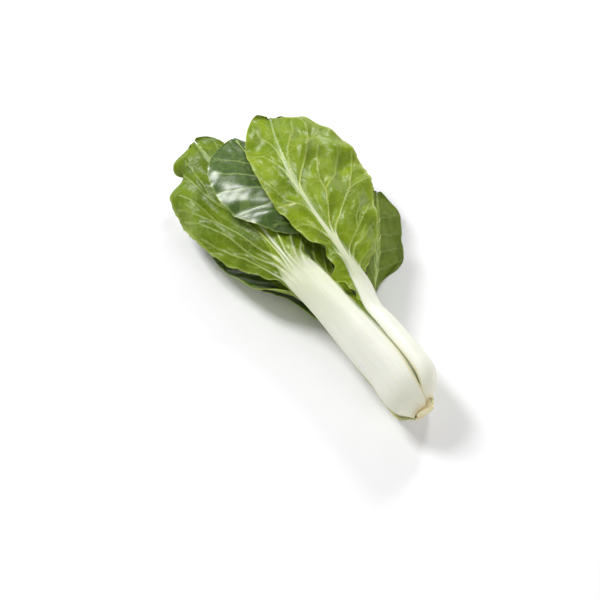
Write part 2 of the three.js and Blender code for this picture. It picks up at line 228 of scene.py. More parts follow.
LEAVES = (
    Leaf(
        "leaf_1", 137, 1.0, 0.92, 0, 15.6, 5, 0.98,
        (
            (-22.5, -27, 37, 126, 12.6, 0.06, 0.05),
            (-24.5, -6, 38, 115, 10.4, 0.035, 0.03),
            (-26, 20, 38.5, 104, 4.2, 0.016, 0.014),
            (-27, 48, 38.5, 100, 2.7, 0.015, 0.014),
            (-27, 76, 37, 100, 1.9, 0.015, 0.014),
            (-26, 103, 34, 100, 1.2, 0.014, 0.014),
            (-25.5, 120, 31, 100, 0.8, 0.012, 0.012),
        ),
        HalfBlade(
            0.44, 40, 0.95, 0.62,
            (
                (
                    1.2, (-0.12, 0.9), (0.0, 0.85), (0.09, 0.86), (0.2, 0.7), (0.31, 0.74),
                    (0.43, 0.83), (0.5, 0.92),
                ),
                (
                    1.2, (-0.12, 0.6), (0.0, 0.55), (0.14, 0.42), (0.26, 0.54), (0.41, 0.56),
                    (0.53, 0.7), (0.66, 0.93),
                ),
                (
                    1.1, (-0.12, 0.35), (0.05, 0.28), (0.19, 0.26), (0.29, 0.33), (0.39, 0.4),
                    (0.51, 0.49), (0.66, 0.57), (0.76, 0.8),
                ),
                (0.6, (0.51, 0.49), (0.58, 0.64), (0.67, 0.8), (0.72, 0.93)),
                (
                    1.1, (-0.12, 0.1), (0.08, 0.06), (0.19, 0.06), (0.32, 0.09), (0.4, 0.15),
                    (0.52, 0.22), (0.66, 0.34), (0.82, 0.52), (0.9, 0.7),
                ),
                (0.55, (0.66, 0.34), (0.75, 0.32), (0.86, 0.38), (0.94, 0.52)),
            ),
            ((0.985, 0.04, 6.0),),
        ),
        HalfBlade(
            0.45, 21, 0.6, 0.62,
            (
                (
                    1.0, (-0.1, 0.3), (0.04, 0.16), (0.15, 0.15), (0.23, 0.28), (0.34, 0.42),
                    (0.5, 0.6), (0.64, 0.8), (0.72, 0.93),
                ),
                (
                    1.0, (-0.1, 0.6), (0.0, 0.45), (0.08, 0.4), (0.19, 0.64), (0.29, 0.83),
                    (0.36, 0.95),
                ),
                (0.9, (-0.1, 0.85), (-0.02, 0.75), (0.06, 0.72), (0.12, 0.85), (0.17, 0.97)),
                (0.8, (0.3, 0.03), (0.45, 0.2), (0.6, 0.42), (0.75, 0.68), (0.85, 0.9)),
                (0.6, (0.6, 0.04), (0.7, 0.2), (0.85, 0.5), (0.93, 0.75)),
            ),
        ),
        (2.4, 3, 0.4, 1.1, 1.2),
        grid=(64, 210, 30),
        curls=(Curl(Side.LEFT, 0.3, 0.18, 8.0, 1.2), Curl(Side.LEFT, 0.895, 0.05, 16.0, 2.6)),
        white_to=(0.47, 0.535),
        swell=1.6,
        folds=(
            (0.86, -12.0, -3.0, 34.0, 9.0),
            (0.8, -28.0, 2.2, 22.0, 9.0),
            (0.66, -30.0, -2.0, 16.0, 9.0),
        ),
        slim=0.6,
        fan=13.0,
        seed=11,
    ),
    Leaf(
        "leaf_2", 267.5, 1.0, 0.92, 1.2, 17.4, 4.8, 0.94,
        (
            (-8, -27, 1.4, 269, 9.4, 0.05, 0.05),
            (-6, 2, 1.4, 270, 5.6, 0.01, 0.01),
            (-3, 32, 1.5, 270, 3.2, -0.003, -0.003),
            (0, 60, 1.6, 270, 2.0, -0.003, -0.003),
            (2, 88, 2.2, 270, 0.8, -0.003, -0.003),
        ),
        HalfBlade(0.44, 31, 0.7, 0.52),
        HalfBlade(0.42, 36, 0.55, 0.52),
        (1.5, 3, 0.1, 0.5, 1),
        grid=(44, 130, 20),
        swell=0.5,
        seed=12,
    ),
    Leaf(
        "leaf_3", 46, 0.886, 0.72, 3.4, 13.6, 4.8, 0.92,
        (
            (4.8, -30.5, 41, 72, 5, 0.07, 0.026),
            (3.6, -10.5, 47, 83, 3.6, 0.03, 0.017),
            (2, 13.5, 52, 85, 2.9, 0.015, 0.012),
            (3, 37, 54.5, 86, 2.3, 0.011, 0.011),
            (6.5, 59, 54, 87, 2.0, 0.011, 0.01),
            (12.5, 80, 51.5, 88, 1.4, 0.011, 0.01),
            (20, 99.5, 47.5, 90, 0.8, 0.011, 0.01),
        ),
        HalfBlade(
            0.335, 21, 1.15, 0.75,
            (
                (
                    0.8, (0.3, 0.1), (0.38, 0.05), (0.43, 0.1), (0.48, 0.38), (0.5, 0.6),
                    (0.505, 0.76), (0.51, 0.95),
                ),
                (0.5, (0.48, 0.38), (0.54, 0.6), (0.6, 0.78), (0.65, 0.93)),
                (
                    0.7, (0.2, 0.2), (0.28, 0.15), (0.33, 0.28), (0.38, 0.53), (0.4, 0.76),
                    (0.41, 0.97),
                ),
                (
                    0.6, (0.55, 0.03), (0.63, 0.08), (0.69, 0.2), (0.73, 0.42), (0.77, 0.66),
                    (0.8, 0.9),
                ),
                (0.5, (0.72, 0.04), (0.82, 0.2), (0.88, 0.5), (0.92, 0.8)),
            ),
            ((0.14, 0.03, 9.0), (0.275, 0.025, -5.0)),
        ),
        HalfBlade(
            0.405, 57, 0.7, 0.55,
            (
                (
                    1.1, (0.08, 0.0), (0.2, 0.06), (0.25, 0.16), (0.3, 0.32), (0.37, 0.48),
                    (0.44, 0.61), (0.55, 0.74), (0.64, 0.82), (0.74, 0.93),
                ),
                (0.6, (0.42, 0.57), (0.455, 0.7), (0.48, 0.85), (0.5, 0.95)),
                (
                    1.1, (0.08, 0.0), (0.2, 0.04), (0.27, 0.09), (0.33, 0.17), (0.39, 0.23),
                    (0.45, 0.28), (0.55, 0.3), (0.64, 0.36), (0.76, 0.5),
                ),
                (0.7, (0.44, 0.27), (0.5, 0.4), (0.55, 0.51), (0.66, 0.64), (0.76, 0.76)),
                (
                    0.9, (0.41, 0.0), (0.51, 0.03), (0.57, 0.1), (0.63, 0.19), (0.69, 0.27),
                    (0.75, 0.34), (0.82, 0.43), (0.9, 0.51), (0.96, 0.7),
                ),
                (0.6, (0.74, 0.33), (0.8, 0.44), (0.84, 0.53), (0.89, 0.68)),
                (
                    0.7, (0.0, 0.02), (0.06, 0.06), (0.1, 0.1), (0.14, 0.2), (0.17, 0.35),
                    (0.2, 0.51), (0.24, 0.68), (0.28, 0.8), (0.33, 0.92),
                ),
                (0.5, (0.2, 0.51), (0.25, 0.55), (0.31, 0.68), (0.37, 0.82)),
                (
                    0.5, (0.02, 0.05), (0.07, 0.12), (0.12, 0.3), (0.14, 0.49), (0.17, 0.7),
                    (0.2, 0.9),
                ),
                (0.6, (0.6, 0.0), (0.72, 0.08), (0.81, 0.18), (0.88, 0.28), (0.95, 0.45)),
                (0.5, (0.0, 0.2), (0.05, 0.4), (0.08, 0.65), (0.1, 0.85)),
            ),
            ((0.88, 0.06, 4.0),),
        ),
        (2.0, 3, 0.75, 1.2, 3.2),
        grid=(68, 220, 26),
        white_to=(0.37, 0.54),
        swell=1.4,
        folds=(
            (0.86, 15.0, 4.6, 14.0, 12.0),
            (0.75, 38.0, -3.4, 18.0, 13.0),
            (0.6, 20.0, 2.6, 15.0, 9.0),
            (0.54, 47.0, 3.2, 18.0, 14.0),
        ),
        notch=4.5,
        seed=13,
    ),
    Leaf(
        "leaf_4", 198, 0.848, 0.64, 4.2, 12.8, 4.2, 0.95,
        (
            (-22, -30, 17, 205, 7.6, 0.06, 0.06),
            (-28, -6, 14.5, 235, 5, 0.03, 0.03),
            (-34, 19, 11.5, 258, 3, 0.006, 0.002),
            (-38, 43, 9.5, 266, 1.9, 0.004, 0.002),
            (-41, 65, 8.5, 268, 0.8, 0.004, 0.002),
        ),
        HalfBlade(0.44, 19, 0.9, 0.56),
        HalfBlade(0.47, 19, 1.0, 0.56),
        (1.2, 2.5, 0.3, 0.6, 1),
        seed=14,
    ),
    Leaf(
        "leaf_5", 335, 0.79, 0.56, 6.4, 12.6, 4.2, 0.95,
        (
            (14, -37, 14.5, 350, 7.4, 0.06, 0.03),
            (25, -23, 15.5, 12, 4.6, 0.04, 0.01),
            (37.5, -5, 16.5, 38, 2.8, 0.022, 0.009),
            (50, 14, 17, 48, 1.7, 0.018, 0.009),
            (61, 32, 16.5, 52, 0.8, 0.012, 0.01),
        ),
        HalfBlade(0.42, 20, 0.7, 0.45),
        HalfBlade(0.43, 29, 0.5, 0.42, (), ((0.12, 0.07, 15.0), (0.45, 0.12, -2.5))),
        (1.6, 2.5, 0.9, 0.8, 1.5),
        grid=(50, 150, 20),
        curls=(Curl(Side.RIGHT, 0.12, 0.08, 10.0, -2.4),),
        white_to=(0.34, 0.44),
        slim=0.35,
        seed=15,
    ),
    Leaf(
        "leaf_6", 95, 0.667, 0.78, 7.2, 9.8, 3.7, 0.9,
        (
            (-7, -30, 30.5, 94, 5.6, 0.06, 0.06),
            (-9, -6, 31, 94, 4, 0.03, 0.03),
            (-11, 18, 30, 95, 2.6, 0.008, 0.008),
            (-13, 42, 28, 96, 1.6, 0.008, 0.008),
            (-15, 62, 26.5, 96, 0.8, 0.008, 0.008),
        ),
        HalfBlade(0.42, 17, 1.0, 0.56),
        HalfBlade(0.44, 15, 1.0, 0.56),
        (0.9, 2, 0.2, 0.5, 1),
        white_to=(0.16, 0.4),
        seed=16,
    ),
    Leaf(
        "leaf_7", 238, 0.571, 0.8, 8.6, 8.8, 3.4, 0.9,
        (
            (-12, -32, 14.5, 240, 4.8, 0.06, 0.06),
            (-14.5, -8, 15, 252, 3.5, 0.03, 0.03),
            (-16, 16, 16, 262, 2.4, 0.006, 0.006),
            (-18, 40, 16.5, 266, 1.5, 0.006, 0.006),
            (-20, 58, 16, 266, 0.8, 0.006, 0.006),
        ),
        HalfBlade(0.44, 15, 1.0, 0.56),
        HalfBlade(0.44, 15, 1.0, 0.56),
        (0.9, 2, 0.6, 0.5, 1),
        grid=(30, 100, 12),
        seed=17,
    ),
    Leaf(
        "leaf_8", 16, 0.514, 0.76, 10, 7.4, 3.2, 0.9,
        (
            (4.5, -33, 29, 345, 4.4, 0.07, 0.07),
            (3, -13, 36, 316, 3.4, 0.03, 0.03),
            (-1.5, 6, 42.5, 290, 2.5, 0.0, 0.0),
            (-5, 28, 45.2, 274, 1.9, 0.0, -0.006),
            (-7, 52, 46.2, 270, 1.5, 0.0, -0.007),
            (-7.5, 76, 45.4, 270, 1.1, 0.0, -0.008),
            (-7.5, 98, 43.5, 270, 0.7, 0.0, -0.008),
        ),
        HalfBlade(0.6, 7, 0.7, 0.5),
        HalfBlade(
            0.59, 33, 0.7, 0.58,
            (
                (0.5, (0.05, 0.06), (0.1, 0.3), (0.15, 0.6), (0.18, 0.85)),
                (
                    0.6, (0.2, 0.04), (0.28, 0.18), (0.31, 0.35), (0.33, 0.49), (0.36, 0.7),
                    (0.38, 0.9),
                ),
                (0.6, (0.34, 0.04), (0.45, 0.25), (0.52, 0.5), (0.58, 0.75), (0.62, 0.92)),
                (0.6, (0.5, 0.04), (0.6, 0.25), (0.68, 0.5), (0.74, 0.75), (0.78, 0.9)),
                (0.5, (0.68, 0.05), (0.78, 0.3), (0.85, 0.6), (0.89, 0.85)),
            ),
        ),
        (1.1, 2.5, 0.2, 1.1, 0.5),
        grid=(60, 150, 14),
        white_to=(0.3, 0.5),
        swell=0.5,
        folds=((0.71, 8.0, -4.5, 34.0, 17.0), (0.93, 26.0, -3.5, 14.0, 12.0)),
        puff=0.35,
        seed=18,
    ),
    Leaf(
        "leaf_9", 152, 0.352, 0.8, 11.4, 5.2, 2.6, 0.9,
        (
            (-6, -32, 23, 115, 3.4, 0.08, 0.08),
            (0, -8, 24.5, 88, 2.6, 0.03, 0.03),
            (6, 12, 26, 76, 1.8, 0.008, 0.01),
            (9, 32, 26.5, 74, 0.8, 0.008, 0.01),
        ),
        HalfBlade(0.5, 12, 1.0, 0.56),
        HalfBlade(0.5, 13, 1.0, 0.56),
        (0.7, 2, 0.4, 0.4, 0.5),
        grid=(26, 90, 10),
        white_to=(0.16, 0.4),
        seed=19,
    ),
)


def smooth(x: np.ndarray | float) -> np.ndarray:
    """A smooth step from 0 at x = 0 to 1 at x = 1."""
    x = np.clip(x, 0, 1)
    return x * x * (3 - 2 * x)


def look_up(rows: np.ndarray, at: np.ndarray | float) -> np.ndarray:
    """Straight-line interpolation in rows of [position, value, ...].

    Args:
        rows: The rows, in order of position.
        at: The positions asked for.

    Returns:
        One row of values for each position, or one value each where a row has only one.
    """
    values = [np.interp(at, rows[:, 0], rows[:, k]) for k in range(1, rows.shape[1])]
    return values[0] if len(values) == 1 else np.stack(values, axis=-1)


def blend_rows(rows: np.ndarray, at: np.ndarray) -> np.ndarray:
    """Smooth interpolation in rows of values, which runs through every row.

    Args:
        rows: The rows.
        at: Row numbers, which may be fractions.

    Returns:
        One row of values for each row number.
    """
    wide = np.vstack([2 * rows[0] - rows[1], rows, 2 * rows[-1] - rows[-2]])
    i = np.clip(np.floor(at).astype(int), 0, len(rows) - 2)
    s = (at - i)[:, None]
    before, a, b, after = (wide[i + k] for k in range(4))
    cubic = 3 * (a - b) + after - before
    square = 2 * before - 5 * a + 4 * b - after
    return a + 0.5 * s * (b - before + s * (square + s * cubic))


def outward(degrees: np.ndarray | float) -> np.ndarray:
    """Unit vectors away from the head's middle on one side; 0 is +X and 90 is up."""
    angle = np.radians(degrees)
    return np.stack([np.cos(angle), np.zeros_like(angle), np.sin(angle)], axis=-1)


def unit(v: np.ndarray) -> np.ndarray:
    """Vectors scaled to length 1."""
    return v / np.linalg.norm(v, axis=-1, keepdims=True)


def arc(bend: np.ndarray, reach: np.ndarray) -> tuple[np.ndarray, np.ndarray]:
    """End of an arc that starts level.

    Args:
        bend: Curvature.
        reach: Length along the arc.

    Returns:
        How far it goes across and how far it drops.
    """
    k = np.where(np.abs(bend) < STRAIGHT, STRAIGHT, bend)
    return np.sin(k * reach) / k, (1 - np.cos(k * reach)) / k


class Ripple:
    """Soft seeded undulation of a surface: a few waves in random directions, from about -1 to 1."""

    def __init__(self, seed: int, wavelength: float, count: int = 7) -> None:
        """Draws the waves.

        Args:
            seed: Seed of the draw.
            wavelength: Mean length of a wave, in millimetres.
            count: How many waves are added up.
        """
        draw = np.random.default_rng(seed)
        angle = draw.uniform(0, 2 * math.pi, count)
        size = 2 * math.pi / (wavelength * draw.uniform(0.7, 1.5, count))
        self.waves = np.stack([np.cos(angle) * size, np.sin(angle) * size], axis=1)
        self.phase = draw.uniform(0, 2 * math.pi, count)
        self.scale = 1 / math.sqrt(count)

    def at(self, x: np.ndarray, y: np.ndarray) -> np.ndarray:
        """Height at points of the leaf's own plane."""
        turns = np.outer(x, self.waves[:, 0]) + np.outer(y, self.waves[:, 1]) + self.phase
        return np.sin(turns).sum(axis=1) * self.scale


def stem_line() -> np.ndarray:
    """The two points that the stem's own line runs through."""
    return look_up(AXIS, np.array([0.0, STEM_SPAN]))


def head_shift() -> np.ndarray:
    """Works out where the head lies in the frame, from the box of the stem's solid.

    Returns:
        The way from the head's own place to its place in the frame, in millimetres.
    """
    line = stem_line()
    turn = Vector((0, 1, 0)).rotation_difference(Vector(line[1] - line[0]))
    corners = [
        turn @ Vector((r * math.sin(a), y, r * math.cos(a)))
        for y, r in STEM
        for a in np.linspace(0, 2 * math.pi, STEM_SIDES, endpoint=False)
    ]
    lowest = np.array(corners).min(axis=0) + line[0]
    shift = np.array(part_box("stem")[0]) / MM - lowest
    return np.array([shift[0], shift[1], 0.0])


HEAD_SHIFT = head_shift()


@dataclass
class Frames:
    """The leaf's moving frame at some shares of its length.

    Args:
        point: Points of the midline.
        inner: Unit vectors towards the inner face.
        side: Unit vectors to the right, seen from the back with the tip up.
        plane: Unit vectors along the leaf.
        white: Half width of the stalk or of the solid's rib.
        depth: Thickness of the stalk or of the rib.
        left: Curvature across the left half.
        right: Curvature across the right half.
    """

    point: np.ndarray
    inner: np.ndarray
    side: np.ndarray
    plane: np.ndarray
    white: np.ndarray
    depth: np.ndarray
    left: np.ndarray
    right: np.ndarray


class LeafForm:
    """A leaf as a curve with a frame, and the sheet that its blade and stalk are made of.

    The constants are the steps in which its length is measured, the step of its direction, the row
    from which its plane follows its line, the lengths of its swellings, crinkles and fringe, the
    height of a crinkle, the shares of the fringe and of the pillows, how many pillows a blade has,
    the waves of the low wings, and the width and start of the notch at the tip.
    """

    STEPS = 200
    NUDGE = 0.02
    TURN_ROW = 6
    RIB_TAPER = 1.3
    SWELL_LENGTH, CRINKLE_LENGTH, FRINGE_LENGTH = 24.0, 8.0, 11.0
    CRINKLE_HEIGHT = 0.07
    FRINGE_SHARE = PILLOW_SHARE = 0.35
    PILLOWS = 6.5
    WING_WAVES = 95
    NOTCH_WIDTH, NOTCH_START = 9.0, 0.86

    def __init__(self, leaf: Leaf) -> None:
        """Works out the leaf's line and its length.

        Args:
            leaf: The leaf's sizes.
        """
        self.leaf = leaf
        self.rows = self._stations()
        self.ats = np.linspace(0, len(self.rows) - 1, self.STEPS + 1)
        steps = np.diff(blend_rows(self.rows, self.ats)[:, :3], axis=0)
        self.arc = np.concatenate([[0.0], np.cumsum(np.linalg.norm(steps, axis=1))])
        self.length = float(self.arc[-1])
        self.swell = Ripple(leaf.seed, self.SWELL_LENGTH)
        self.crinkle = Ripple(leaf.seed + 100, self.CRINKLE_LENGTH)
        self.fringe = Ripple(leaf.seed + 200, self.FRINGE_LENGTH, 5)

    def _stations(self) -> np.ndarray:
        """Sets out the leaf's line, first up the stalk and then along its own route.

        Returns:
            Rows from foot to tip: x, y, z, facing, half width of the white, thickness and the
            curvatures of the two halves.
        """
        leaf = self.leaf
        rows = []
        for along, width, thick in STALK_SHAPE:
            at = leaf.foot + along * (NECK - leaf.foot) / NECK
            depth = leaf.thick * thick
            standing = float(look_up(STEM, leaf.foot)) + FOOT_GAP + depth
            nested = leaf.level * HEAD_RADIUS * float(look_up(BULB, at))
            risen = min(1.0, along / SPREAD)
            radius = standing + (nested - standing) * risen * (2 - risen)
            point = look_up(AXIS, at) + outward(leaf.azimuth) * radius
            half_width = leaf.width * width * (1 + (leaf.neck - 1) * along / NECK)
            section = 1 / (leaf.cup * radius)
            rows.append([*point, leaf.azimuth, half_width, depth, section, section])
        neck_depth = rows[-1][5]
        thin = BLADE_THICKNESS + RIB_EXTRA
        for i, (x, y, z, facing, rib, left, right) in enumerate(leaf.route):
            turned = facing - 360 * round((facing - leaf.azimuth) / 360)
            share = (i + 1) / len(leaf.route)
            depth = thin + (neck_depth - thin) * (1 - share) ** self.RIB_TAPER
            rows.append([x, y, z, turned, rib, depth, left, right])
        return np.array(rows, float)

    def frames(self, share: np.ndarray) -> Frames:
        """Works out the moving frame.

        Args:
            share: Shares of the leaf's length.

        Returns:
            The frame at each of them.
        """
        row = np.interp(np.clip(share, 0, 1) * self.length, self.arc, self.ats)
        values = blend_rows(self.rows, row)
        last = len(self.rows) - 1
        before = blend_rows(self.rows, np.maximum(0, row - self.NUDGE))[:, :3]
        after = blend_rows(self.rows, np.minimum(last, row + self.NUDGE))[:, :3]
        run = unit(after - before)
        turn = smooth((row - self.TURN_ROW) / 2)[:, None]
        plane = unit(unit(HEADWARDS) * (1 - turn) + run * turn)
        inner = -outward(values[:, 3])
        inner = unit(inner - plane * (inner * plane).sum(axis=1, keepdims=True))
        side = np.cross(inner, plane)
        return Frames(values[:, :3], inner, side, plane, *values[:, 4:8].T)

    def half(self, side: Side) -> HalfBlade:
        """One half of the blade."""
        return self.leaf.right if side is Side.RIGHT else self.leaf.left

    def blade_share(self, share: np.ndarray, side: Side) -> np.ndarray:
        """Share of the blade's length on one side, at shares of the leaf's length."""
        start = self.half(side).start
        return (share - start) / (1 - start)

    def half_width(self, share: np.ndarray, side: Side) -> np.ndarray:
        """Half width of the whole leaf, with its lobes and the low wings that run down the stalk.

        Args:
            share: Shares of the leaf's length.
            side: Which half.

        Returns:
            The distance of the margin from the midline at each share.
        """
        half = self.half(side)
        wing = self.leaf.waves[4]
        along = np.clip(self.blade_share(share, side), 0, 1)
        white = self.frames(share).white
        beyond = np.clip((along - half.widest) / (1 - half.widest), 0, 1)
        rising = (1 - (1 - np.minimum(1, along / half.widest)) ** 2) ** half.base
        outline = np.where(along < half.widest, rising, np.sqrt(np.clip(1 - beyond**2.4, 0, 1)))
        winged = smooth(along / 0.04) * (1 - smooth((along - 0.12) / 0.15))
        lobes = wing * winged * (0.6 + 0.4 * np.sin(self.WING_WAVES * along))
        for at, spread, size in half.flaps:
            lobes = lobes + size * np.exp(-(((along - at) / spread) ** 2))
        rib = white * 0.9 * (1 - smooth((along - 0.7) / 0.3))
        return np.maximum(rib + TIP_WIDTH * half.width, half.width * outline) + lobes

    def relief(self, share: np.ndarray, lateral: np.ndarray, side: Side) -> np.ndarray:
        """Ruffled edge and pillows as in the solids, with finer waves, swellings and folds.

        Args:
            share: Shares of the leaf's length.
            lateral: Distances from the midline, all on one side of it.
            side: That side.

        Returns:
            How far each point moves towards the inner face.
        """
        ruffle, waves, phase, pucker, _ = self.leaf.waves
        along = self.blade_share(share, side)
        reach = np.abs(lateral)
        across = np.clip(reach / self.half_width(share, side), 0, 1)
        rise = smooth(along / 0.25)
        offset = 0.5 if side is Side.RIGHT else 0.0
        wave = np.sin(2 * math.pi * (waves * along + phase + offset))
        vein = self.PILLOWS * (along - 0.3 * across) + offset
        pillow = np.cos(2 * math.pi * vein) * smooth(across / 0.3) * (1 - 0.6 * across)
        y = share * self.length
        broad = self.leaf.swell * self.swell.at(lateral, y) * smooth(across / 0.35)
        fine = self.CRINKLE_HEIGHT * self.crinkle.at(lateral, y) * smooth(across / 0.2)
        edge = self.FRINGE_SHARE * ruffle * self.fringe.at(lateral * 0.3, y) * across**4
        bulges = np.zeros(len(share))
        for at, place, height, long, wide in self.leaf.folds:
            away = ((y - at * self.length) / long) ** 2 + ((side.value * reach - place) / wide) ** 2
            bulges = bulges - height * np.exp(-away)
        ruffled = ruffle * across**2.2 * wave + self.PILLOW_SHARE * pucker * pillow
        return rise * (ruffled + broad + fine + edge + bulges)

    def sheet(self, share: np.ndarray, lateral: np.ndarray, side: Side) -> np.ndarray:
        """Points of the leaf's back face.

        Args:
            share: Shares of the leaf's length.
            lateral: Distances from the midline, all on one side of it.
            side: That side.

        Returns:
            One point each, in the head's own place.
        """
        f = self.frames(share)
        bend = f.right if side is Side.RIGHT else f.left
        reach = np.abs(lateral)
        along = self.blade_share(share, side)
        edge = self.half_width(share, side)
        across, drop = arc(bend, reach)
        for curl in self.leaf.curls:
            if curl.side is not side:
                continue
            fade = np.exp(-(((along - curl.at) / curl.spread) ** 2))
            line = np.maximum(edge - curl.reach, 0.35 * edge)
            past = np.maximum(reach - line, 0)
            more = bend + fade * curl.turn / curl.reach
            a0, d0 = arc(bend, line)
            a1, d1 = arc(more, past)
            c, s = np.cos(bend * line), np.sin(bend * line)
            rolled = past > 0
            across = np.where(rolled, a0 + c * a1 - s * d1, across)
            drop = np.where(rolled, d0 + s * a1 + c * d1, drop)
        lift = np.where(along > 0, self.relief(share, lateral, side), 0.0)
        late = smooth((along - self.NOTCH_START) / 0.14)
        ahead = self.leaf.notch * smooth(reach / self.NOTCH_WIDTH) * late
        return (
            f.point
            + f.side * (across * side.value)[:, None]
            + f.inner * (drop + lift)[:, None]
            + f.plane * ahead[:, None]
        )


@dataclass
class Vein:
    """One vein as a line in the plane of a blade half.

    Args:
        path: Points as distance from the midline and distance along the leaf.
        radius: Its radius at each point.
        main: Whether it is a side vein, and not a fork of one.
    """

    path: np.ndarray
    radius: np.ndarray
    main: bool = True


class VeinNet:
    """The veins of a leaf: the side veins of each half and their forks, which run to the margin.

    The constants are how many side veins a half has where it lists none, the path of such a vein as
    (share of its rise, share of the half's width), the places of the forks with the side they turn
    to, and a distance that is past every vein.
    """

    DEFAULT_COUNT = 6
    DEFAULT_PATH = ((-0.25, 0.0), (0.15, 0.1), (0.45, 0.38), (0.8, 0.7), (1.0, 0.92))
    FORKS = ((0.5, -1), (0.7, 1), (0.85, -1))
    FORK_SIZE = 0.42
    FAR = 30.0

    def __init__(self, form: LeafForm) -> None:
        """Draws the veins of both halves.

        Args:
            form: The leaf's form.
        """
        self.form = form
        self.draw = np.random.default_rng(form.leaf.seed + 300)
        self.veins = {side: self._half(side) for side in Side}

    def _rows(self, side: Side) -> tuple[VeinRow, ...]:
        """Finds the half's own list of side veins, or makes an even set where it has none.

        Args:
            side: The half.

        Returns:
            The side veins as rows.
        """
        half = self.form.half(side)
        if half.veins:
            return half.veins
        rows = []
        for b in np.linspace(0.02, 0.76, self.DEFAULT_COUNT):
            rise = 0.26 * (1 - b) + 0.06
            points = ((b + rise * t, out) for t, out in self.DEFAULT_PATH)
            rows.append((0.95 - 0.5 * b, *points))
        return tuple(rows)

    def _half(self, side: Side) -> list[Vein]:
        """Draws the side veins of one half and their forks.

        Args:
            side: The half.

        Returns:
            The veins.
        """
        form, half = self.form, self.form.half(side)
        veins = []
        for size, *points in self._rows(side):
            along, out = np.array(points).T
            share = half.start + (1 - half.start) * along
            white = form.frames(share).white
            x = np.maximum(form.half_width(share, side) * out, 0.25 * white)
            t = np.linspace(0, 1, 8 * (len(points) - 1) + 1)
            path = blend_rows(np.stack([x, share * form.length], axis=1), t * (len(points) - 1))
            path[:, 0] += 0.35 * np.sin(5 * t * math.pi + self.draw.uniform(0, 6)) * t
            radius = size * (1 - 0.7 * t) * (0.5 + 0.5 * smooth(t / 0.15))
            veins.append(Vein(path, radius))
            for at, swing in self.FORKS:
                place = int(at * (len(t) - 1))
                veins.append(self._fork(path, place, swing, float(x[-1]), size * self.FORK_SIZE))
        return veins

    def _fork(self, path: np.ndarray, at: int, swing: int, edge: float, size: float) -> Vein:
        """A fork that leaves a side vein.

        Args:
            path: The side vein.
            at: Number of the point where it leaves.
            swing: 1 where it turns towards the tip, -1 where it turns towards the margin.
            edge: Where the side vein ends.
            size: Radius where it leaves.

        Returns:
            The fork.
        """
        s = np.linspace(0, 1, 12)
        run = unit(path[at + 1] - path[at])
        angle = swing * self.draw.uniform(0.45, 0.75)
        c, sine = math.cos(angle), math.sin(angle)
        turned = np.array([run[0] * c - run[1] * sine, run[0] * sine + run[1] * c])
        reach = (0.18 + 0.1 * self.draw.random()) * edge
        bend, end = path[at] + turned * reach * 0.5, path[at] + (turned + run) * reach * 0.62
        line = self._curve(np.array([path[at], bend, end]), s)
        return Vein(line, size * (1 - 0.6 * s), main=False)

    @staticmethod
    def _curve(points: np.ndarray, t: np.ndarray) -> np.ndarray:
        """Draws a smooth curve that starts and ends at its first and last control point.

        Args:
            points: Its control points.
            t: Shares of the curve.

        Returns:
            One point for each share.
        """
        n = len(points) - 1
        weights = [math.comb(n, k) * t**k * (1 - t) ** (n - k) for k in range(n + 1)]
        return sum(w[:, None] * p for w, p in zip(weights, points))

    def field(self, lateral: np.ndarray, y: np.ndarray, side: Side) -> tuple[np.ndarray, ...]:
        """What the veins do at points of one half.

        Args:
            lateral: Distances from the midline.
            y: Distances along the leaf.
            side: The half.

        Returns:
            Mask of the veins, height of their ridges, and distance from the nearest side vein.
        """
        x = np.abs(lateral)
        mask = np.zeros(len(x))
        ridge = np.zeros(len(x))
        near = np.full(len(x), self.FAR)
        for vein in self.veins[side]:
            path, radii = vein.path, vein.radius
            strength = 1.0 if vein.main else 0.7
            for a, b, ra, rb in zip(path[:-1], path[1:], radii[:-1], radii[1:]):
                run = b - a
                share = ((x - a[0]) * run[0] + (y - a[1]) * run[1]) / max(run @ run, 1e-9)
                share = np.clip(share, 0, 1)
                gap = np.hypot(x - a[0] - share * run[0], y - a[1] - share * run[1])
                radius = VEIN_WIDTH * (ra + (rb - ra) * share)
                wide = np.maximum(radius, VEIN_DRAWN)
                drawn = np.minimum(1.0, 0.3 + 0.7 * radius / VEIN_DRAWN) * strength
                mask = np.maximum(mask, drawn * (1 - smooth((gap / wide - 0.4) / 0.8)))
                height = (1.1 if vein.main else 0.3) * radius
                ridge = np.maximum(ridge, height * np.exp(-((gap / (1.25 * wide)) ** 2)))
                if vein.main:
                    near = np.minimum(near, gap)
        return mask, ridge, near


Socket = bpy.types.NodeSocket
Value = Socket | float | tuple[float, ...]


